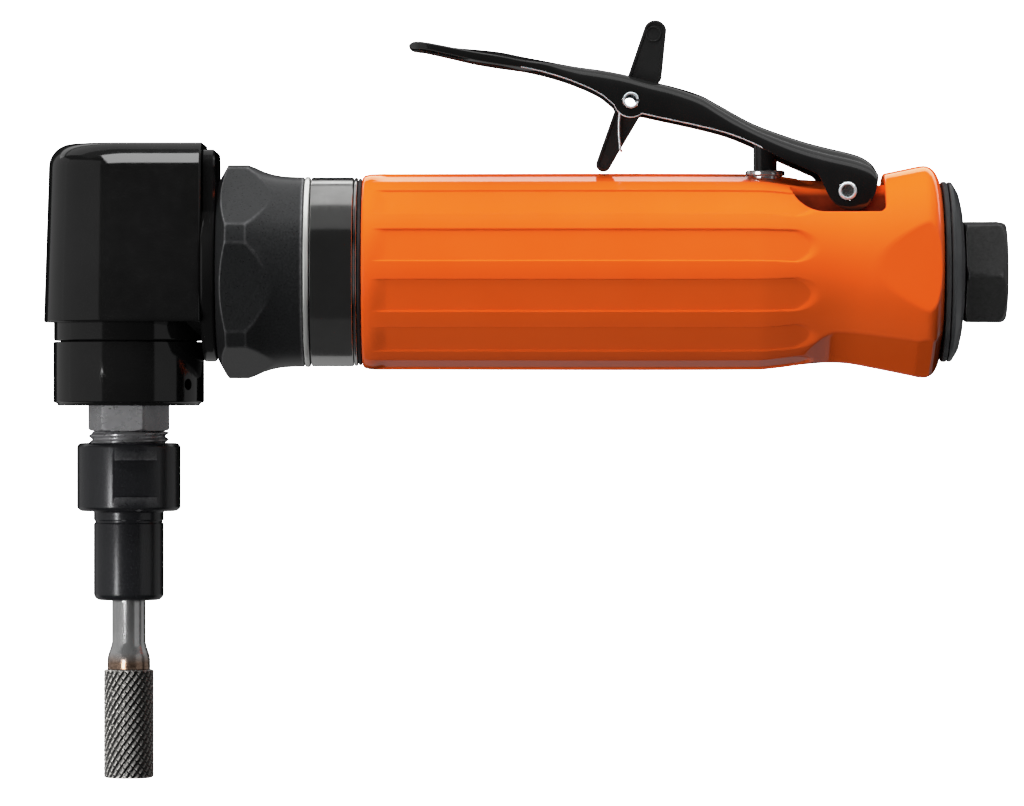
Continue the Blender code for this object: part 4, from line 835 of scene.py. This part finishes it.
def lever_ring(x):
    """The bent sheet's outline at x, with rounded lower edges and a raised middle."""
    crown, half = smooth_line(LEVER_CROWN, x), smooth_line(LEVER_WIDTH, x)
    power = 2 + 3 * step_up(x, 0.0, 16.0)
    roof = smooth_line(LEVER_ROOF, x) - crown
    low = min(smooth_line(LEVER_EDGE, x), boss_edge(x, LOCK_PIVOT, LOCK_BOSS), roof - 0.3)
    bend = min(smooth_line(LEVER_BEND, x), (roof - low) * 0.75)
    inner_roof, inner_half = roof - min(SHEET, (roof - low) * 0.9), half - SHEET
    inner_low = min(low, inner_roof - 0.04)
    inner_bend = max(0.1, min(bend - 0.6, (inner_roof - inner_low) * 0.6))
    lip = min(LIP, (roof - low) * 0.2)
    lower_edge = [(inner_half + lip, low), (half - lip, low), (half - lip * 0.3, low + lip * 0.3)]
    outer = lower_edge + [(half, low + lip)] + quarter_bend(half, roof, bend, BEND_PIECES)
    outer += [((half - bend) * k, roof + crown * (1 - k**power)) for k in ROOF_SHARES]
    inner = [(inner_half + lip * 0.3, inner_low + lip * 0.3), (inner_half, inner_low + min(lip, 0.1))]
    inner += quarter_bend(inner_half, inner_roof, inner_bend, 5)
    inner += [((inner_half - inner_bend) * k, inner_roof + crown * (1 - k**power)) for k in (0.9, 0.7, 0.4, 0)]

    def over(side):
        return side + [(-y, z) for y, z in reversed(side[:-1])]

    return [(x, y, z) for y, z in over(outer) + list(reversed(over(inner)))]


def slot_outline(front, rear, half, radius):
    """A rounded rectangle seen from above."""
    low, high, side = front + radius, rear - radius, half - radius
    corners = ((high, side), (low, side), (low, -side), (high, -side))
    return [p for i, corner in enumerate(corners) for p in arc(corner, radius, 90 * i, 90 * i + 90, 4)]


# How far out the hollow in each end of the lever's pin is coloured darker, as painted shade
BOWL_RADIUS = 1.1


def make_lever():
    stations = spread(-46.7, -45.9, 0.16) + spread(-45.6, -43.4, 0.3) + spread(-42.8, -9.0, 0.75)
    stations += spread(-8.4, -1.2, 0.24) + spread(-0.6, 28.0, 0.8) + spread(28.4, 40.9, 0.25)
    stations += spread(41.0, 41.9, 0.1)
    rings = [lever_ring(x) for x in stations]
    lever = loft("lever_sheet", rings, LEVER_BLACK, 38)
    lever.data.materials.append(LIP_PAINTED_HIGHLIGHT)
    corners = len(rings[0])
    for face in lever.data.polygons[: corners * (len(rings) - 1)]:
        # Painted highlight: these lip faces get the pale material.
        highlit = HIGHLIT_FROM < stations[face.index // corners] < HIGHLIT_TO
        if highlit and face.index % corners in LIP_FACES:
            face.material_index = 1
    slot = slot_outline(-6.4, 12.2, 2.85, 0.9)
    carve(
        lever,
        loft("cut_slot", [[(x, y, z) for x, y in slot] for z in (26.0, 44.0)], None),
        pin("cut_ear", "lever_pin", -12, 12, PIVOT_BORE, columns=48),
        pin("cut_boss", "lock_pin", -12, 12, 1.62, columns=48),
        sharp_deg=38,
    )
    finish_piece(lever, "lever", "black_oxide_steel", "throttle_lever")
    bowl = [(9.3, 0), (9.33, 0.5), (9.45, 0.9), (9.85, 1.15), (9.99, 1.25)]
    end = bowl + [(10.0, 1.45), (9.87, 1.68), (9.6, 1.75)]
    pivot_pin = lathe("pivot_pin_body", end + [(-a, r) for a, r in reversed(end)], "lever_pin", PIN_STEEL, 64)
    pivot_pin.data.materials.append(BOWL_PAINTED_SHADE)
    for face in pivot_pin.data.polygons:
        across = math.hypot(face.center.x - LEVER_PIVOT[0] * MM, face.center.z - LEVER_PIVOT[1] * MM)
        face.material_index = 1 if across < BOWL_RADIUS * MM else 0
    finish_piece(pivot_pin, "housing", "bright_steel", "lever_pivot_pin")
    roll = rounded([(7.75, 1.1), (7.75, 1.54), (-7.75, 1.54), (-7.75, 1.1)], 0.25, 4)
    roll_pin = lathe("roll_pin", roll, "lock_pin", PIN_STEEL, 64)
    px, pz = LOCK_PIVOT
    slit = [(px + 0.5, pz - 0.2), (px + 2.5, pz - 0.2), (px + 2.5, pz + 0.2), (px + 0.5, pz + 0.2)]
    carve(roll_pin, loft("cut_slit", [[(x, y, z) for x, z in slit] for y in (-9, 9)], None))
    finish_piece(roll_pin, "lever", "bright_steel", "lock_pin")


# --- Lock-off lever and its spring ---
# Half the lock-off lever's width, the raised circle on each side and its own thickness, and the spring's wire,
# both by radius. The lever's edge is rounded by rows of (distance from the side, inset)
LOCK_HALF, LOCK_CIRCLE, CIRCLE_WIRE, SPRING_WIRE = 2.5, 1.35, 0.2, 0.22
LOCK_EDGE = [(0.22, 0.95), (0.22, 0.62), (0.0, 0.5), (0.0, 0.28), (0.12, 0.08), (0.4, 0.0)]


def inset_outline(outline, inset):
    """A closed outline moved inwards. Its points run against the clock or with it."""
    points = [Vector(p) for p in outline]
    following = points[1:] + points[:1]
    area = sum(here.x * after.y - after.x * here.y for here, after in zip(points, following))
    sign = 1 if area > 0 else -1
    made = []
    for before, here, after in zip(points[-1:] + points[:-1], points, following):
        way_in, way_out = (here - before).normalized(), (after - here).normalized()
        normal = (Vector((-way_in.y, way_in.x)) + Vector((-way_out.y, way_out.x))).normalized()
        stretch = 1 / max(0.5, math.cos(way_in.angle(way_out) / 2))
        made.append(tuple(here + normal * inset * sign * stretch))
    return made


def make_lock():
    head, foot = (-0.05, 45.55), (-9.8, 20.5)
    outline = arc(head, 2.15, 8, 165, 22) + [(-5.1, 37.4), (-7.5, 31.2)] + arc(foot, 1.4, 165, 325, 18)
    outline += [(-7.0, 22.6), (-3.1, 29.2), (-1.6, 32.6), (1.15, 36.6)]
    rows = [(away - LOCK_HALF, inset) for away, inset in LOCK_EDGE]
    rows += [(-y, inset) for y, inset in reversed(rows)]
    rings = [[(x, y, z) for x, z in inset_outline(outline, inset)] for y, inset in rows]
    arm = loft("lock_arm", rings, PLASTIC, 30)
    carve(arm, pin("cut_eye", "lock_pin", -8, 8, 1.75, columns=48), sharp_deg=30)
    finish_piece(arm, "lock", "black_polymer", "lock_lever")
    for side in (-1, 1):
        centre_y = side * (LOCK_HALF - 0.24)
        loop = [
            (head[0] - 0.3 + LOCK_CIRCLE * math.cos(t), centre_y, head[1] - 0.5 + LOCK_CIRCLE * math.sin(t))
            for t in np.linspace(0, 2 * math.pi, 49)
        ]
        button = tube(f"lock_circle_{'front' if side < 0 else 'back'}", loop, CIRCLE_WIRE, PLASTIC, 10)
        finish_piece(button, "lock", "black_polymer")


def make_lock_spring():
    px, pz = LOCK_PIVOT
    coil_radius, pitch, turns, side_y, per_turn = 2.25, 0.55, 3, -3.0, 28
    coil = []
    for i in range(turns * per_turn + 1):
        angle = math.radians(-150) + 2 * math.pi * i / per_turn
        y = side_y - pitch * i / per_turn
        coil.append((px + coil_radius * math.cos(angle), y, pz + coil_radius * math.sin(angle)))
    leg = [(-1.72, -1.0, -9.4), (-1.72, -2.6, -9.4), (-1.95, side_y, -8.8), (-2.2, side_y, -5.0)]
    leg = [(px + x, y, pz + z) for x, y, z in leg]
    first = Vector(coil[0])
    leg_line = curve_through(leg + [tuple(first)], 6)[:-1]
    long_part = tube("spring_coil", [tuple(p) for p in leg_line] + coil, SPRING_WIRE, PIN_STEEL)
    finish_piece(long_part, "lock", "bright_steel", "lock_spring")
    last = Vector(coil[-1])
    short = [tuple(last), (px + 0.2, last.y, pz - 2.6), (px + 3.4, last.y, pz - 1.2)]
    finish_piece(tube("spring_leg", curve_through(short, 6), SPRING_WIRE, PIN_STEEL), "lever", "bright_steel")


# --- Throttle stem and bushing ---
def make_throttle():
    stem = [(1.5, 0), (1.5, 1.0), (16.6, 1.0), (16.6, 2.25), (23.9, 2.25), (24.8, 1.85), (25.3, 1.0), (25.45, 0)]
    stem = rounded(stem, 0.25, 4, closed=False)
    turned("stem_body", stem, "stem", LEVER_BLACK, 72, "throttle", "black_polymer", "throttle_stem")
    bushing = [(4.6, 2.4), (4.6, 3.2), (18.25, 3.2), (18.25, 3.75), (19.05, 3.75), (19.25, 3.4), (19.25, 2.4)]
    bushing = rounded(bushing, 0.2, 4)
    turned("bushing_flange", bushing, "stem", FLANGE_STEEL, 96, "housing", "bright_steel", "throttle_bushing")


# --- CAD nodes that stay as they are ---
KEPT_LOOKS = [
    (BEARING_STEEL, "bearing"),
    (PHENOLIC, "vane"),
    (GEAR_STEEL, "bevel", "coupling"),
    (IRON, "rotor", "motor_cylinder", "end_plate"),
    (PIN_STEEL, "dowel", "retaining", "valve_spring"),
    (HEX_STEEL, "collet"),
    (BRASS, "strainer", "valve_seat"),
    (FELT, "felt"),
    (RUBBER, "gasket", "seal", "poppet"),
]


def dress_kept_nodes():
    """Gives each node that shows as CAD made it the first look whose words its name holds."""
    for name, obj in frame["nodes"].items():
        looks = [look for look, *words in KEPT_LOOKS if any(word in name for word in words)]
        if looks and not obj.hide_render:
            for material_slot in obj.material_slots:
                material_slot.material = looks[0]


# --- Stage, light and camera ---
FLOOR_Z, WALL_TOP, STAGE_ROWS, STAGE_COLUMNS = -135, 3000, (5, 400, 900, 2000, 4000), 96
# In metres: from where to where the floor's glow rises, and the strength that it and the wall reach
GLOW_FROM, GLOW_TO, GLOW = 0.28, 0.5, 5.0
# In metres, but for the sensor. FRAME_WIDTH is what the camera sees across at the tool
CAMERA_X, CAMERA_Z, CAMERA_DISTANCE, SENSOR, FRAME_WIDTH = -0.0272, -0.0249, 1.2, 36.0, 0.19456


def stage_material(name, grey, spread_glow):
    """Pale paper that glows. With spread_glow, the glow rises away from the middle."""
    made, tree, shader = shader_tree(name, 0.9, specular=0.1)
    link(tree, ramp(tree, noise(tree, 3), grey, grey * 1.02), shader.inputs["Base Color"])
    shader.inputs["Emission Color"].default_value = (1, 1, 1, 1)
    shader.inputs["Emission Strength"].default_value = GLOW
    if spread_glow:
        away = distance(tree, (1, 1, 0))
        rise = mapped(tree, away, GLOW_FROM, GLOW_TO, 0.0, GLOW, "SMOOTHSTEP")
        link(tree, rise, shader.inputs["Emission Strength"])
    return made


def stage_ring(radius, z):
    turns = [2 * math.pi * i / STAGE_COLUMNS for i in range(STAGE_COLUMNS)]
    return [(radius * math.cos(a), radius * math.sin(a), z) for a in turns]


def make_stage():
    """A round pale floor that whitens away from the tool, and a white wall all round it."""
    rings = [stage_ring(radius, FLOOR_Z) for radius in STAGE_ROWS]
    floor = loft("floor", rings, stage_material("floor_pale", 0.8, True), capped=(0,))
    rings = [rings[-1], stage_ring(STAGE_ROWS[-1], WALL_TOP)]
    wall = loft("backdrop", rings, stage_material("backdrop_white", 0.9, False), capped=())
    for obj in (floor, wall):
        obj.visible_glossy = False
        obj.visible_diffuse = False
        obj.visible_shadow = False


# In metres: the middle and the length of the boxes along the tool
BOX_X, BOX_LENGTH = -0.02, 2.4


def softbox(name, place, target, width, height, radiance, mirrored=True):
    """A rectangular soft light with an even brightness, which the camera doesn't see.
    It is only mirrored in surfaces, or it only lights them."""
    light = bpy.data.lights.new(name, "AREA")
    light.shape = "RECTANGLE"
    light.size, light.size_y = width, height
    light.energy = radiance * width * height * math.pi
    obj = bpy.data.objects.new(name, light)
    obj.location = place
    obj.rotation_euler = (Vector(target) - Vector(place)).to_track_quat("-Z", "Y").to_euler()
    obj.visible_camera = False
    obj.visible_glossy = mirrored
    obj.visible_diffuse = not mirrored
    bpy.context.scene.collection.objects.link(obj)
    return obj


def fill(*box):
    """A softbox that only lights."""
    return softbox(*box, mirrored=False)


def long_box(name, low_deg, high_deg, away, radiance):
    """A long box along the tool, between two elevations seen from the motor axis on the camera's side."""
    middle = math.radians((low_deg + high_deg) / 2)
    width = 2 * away * math.tan(math.radians(high_deg - low_deg) / 2)
    place = (BOX_X, -away * math.cos(middle), away * math.sin(middle))
    return softbox(name, place, (BOX_X, 0, 0), BOX_LENGTH, width, radiance)


def only_on(light, *words, wanted=True):
    """The light falls only on the pieces whose names hold one of the words."""
    group = bpy.data.collections.new(light.name + "_group")
    for obj in bpy.context.scene.objects:
        if obj.type == "MESH" and any(word in obj.name for word in words) == wanted:
            group.objects.link(obj)
    light.light_linking.receiver_collection = group


def all_but(light, *words):
    """The light misses the pieces whose names hold one of the words."""
    only_on(light, *words, wanted=False)


def make_lights():
    """Each softbox has a place, what it faces, a width and a height, all in metres, and a radiance. A long box has
    its two elevations in degrees, its distance and its radiance."""
    all_but(fill("top_fill", (-0.02, -0.1, 1.15), (-0.02, 0, 0), 1.5, 1.1, 9.5), "burr_head")
    only_on(fill("burr_fill", (-1.35, -0.6, -0.2), (-0.1, 0, -0.08), 0.5, 0.6, 48.0), "burr_head")
    all_but(fill("front_fill", (-1.0, -1.0, -0.2), (-0.03, 0, 0), 1.1, 1.1, 4.9), "burr_head")
    only_on(fill("rear_fill", (0.9, -1.1, -0.3), (0.05, 0, 0), 1.0, 1.0, 8.0), "inlet", "exhaust", "gasket")
    fill("back_fill", (0.35, 1.3, 0.3), (-0.03, 0, 0), 1.1, 1.1, 2.4)
    all_but(long_box("front_top_box", 52, 87, 0.9, 0.1), "handle_shell", "collar_disc")
    all_but(long_box("top_box", 88, 130, 0.9, 0.55), "handle_shell", "collar_disc")
    all_but(long_box("back_box", 134, 147, 0.9, 1.0), "handle_shell")
    all_but(long_box("under_box", -165, -126, 0.9, 0.28), "handle_shell")
    only_on(long_box("handle_rim", 140, 158, 0.85, 1.6), "handle_shell")
    only_on(long_box("handle_low_rim", -150, -131, 0.85, 0.25), "handle_shell")
    only_on(softbox("head_rim", (0.0, -0.65, 0.56), (-0.1, 0, 0.02), 1.3, 0.75, 8.0), "head_casting")
    only_on(long_box("lever_rim", 60, 90, 0.85, 1.0), "lever_sheet")
    only_on(softbox("lever_sky", (-0.45, 0.3, 0.8), (-0.45, 0, 0), 1.1, 0.7, 1.6), "lever_sheet")
    only_on(long_box("waist_box", 58, 86, 0.86, 0.4), "coupling_nut")
    only_on(long_box("pin_box", 50, 130, 0.85, 2.5), "pivot_pin_body", "roll_pin", "bushing_flange", "spring_")
    only_on(softbox("flange_box", (-0.7, -0.7, 0.12), (0.02, 0, 0.02), 0.5, 0.5, 4.0), "bushing_flange", "spring_")
    long_box("front_room", -60, 50, 1.4, 0.02)
    long_box("low_room", -126, -60, 1.2, 0.035)
    softbox("left_wall", (-0.984, -0.348, 0.0), (-0.1, 0, 0), 1.12, 0.9, 0.33)
    softbox("left_back_wall", (-0.9, 0.45, 0.0), (-0.1, 0, 0), 0.7, 0.9, 0.35)
    softbox("right_wall", (0.87, -0.52, 0.0), (-0.1, 0, 0), 0.76, 0.9, 0.3)
    softbox("right_back_wall", (0.8, 0.4, 0.0), (-0.1, 0, 0), 0.6, 0.9, 0.3)
    only_on(softbox("strip", (-0.62, -0.67, -0.2), (-0.1, 0, -0.06), 0.09, 0.3, 22.0), "collet_cap", "spindle_body")
    only_on(softbox("shank_box", (-0.46, -0.77, -0.2), (-0.1, 0, -0.06), 0.26, 0.4, 9.0), "burr_shank")
    only_on(softbox("cap_glint", (-0.62, -0.67, -0.008), (-0.1, 0, -0.012), 0.035, 0.012, 20.0), "spindle_cap_body")
    world = bpy.data.worlds.new("studio")
    world.use_nodes = True
    world.node_tree.nodes["Background"].inputs["Color"].default_value = (1, 1, 1, 1)
    world.node_tree.nodes["Background"].inputs["Strength"].default_value = 0.06
    world.cycles_visibility.glossy = False
    bpy.context.scene.world = world


# Scene brightness and what it shows as: the shoulder of a soft print, which keeps bright orange from clipping
TONE_WHITE = 4.0
TONE_CURVE = [(0.25, 0.25), (0.5, 0.49), (0.7, 0.67), (0.85, 0.765), (1.1, 0.82), (1.5, 0.865), (2.4, 0.93)]


def set_tone():
    view = bpy.context.scene.view_settings
    view.view_transform = "Standard"
    view.use_curve_mapping = True
    view.curve_mapping.white_level = (TONE_WHITE,) * 3
    curve = view.curve_mapping.curves[3]
    for bright, shown in TONE_CURVE:
        curve.points.new(bright / TONE_WHITE, shown)
    view.curve_mapping.update()


def make_camera():
    camera = bpy.data.cameras.new("camera")
    camera.sensor_width = SENSOR
    camera.lens = SENSOR * CAMERA_DISTANCE / FRAME_WIDTH
    obj = bpy.data.objects.new("camera", camera)
    obj.location = (CAMERA_X, -CAMERA_DISTANCE, CAMERA_Z)
    obj.rotation_euler = (math.pi / 2, 0, 0)
    bpy.context.scene.collection.objects.link(obj)
    bpy.context.scene.camera = obj


make_handle()
make_coupling()
make_head()
make_spindle_cap()
make_spindle()
make_collet_cap()
make_burr()
make_inlet()
make_exhaust()
make_lever()
make_lock()
make_lock_spring()
make_throttle()
dress_kept_nodes()
make_stage()
make_lights()
make_camera()
set_tone()
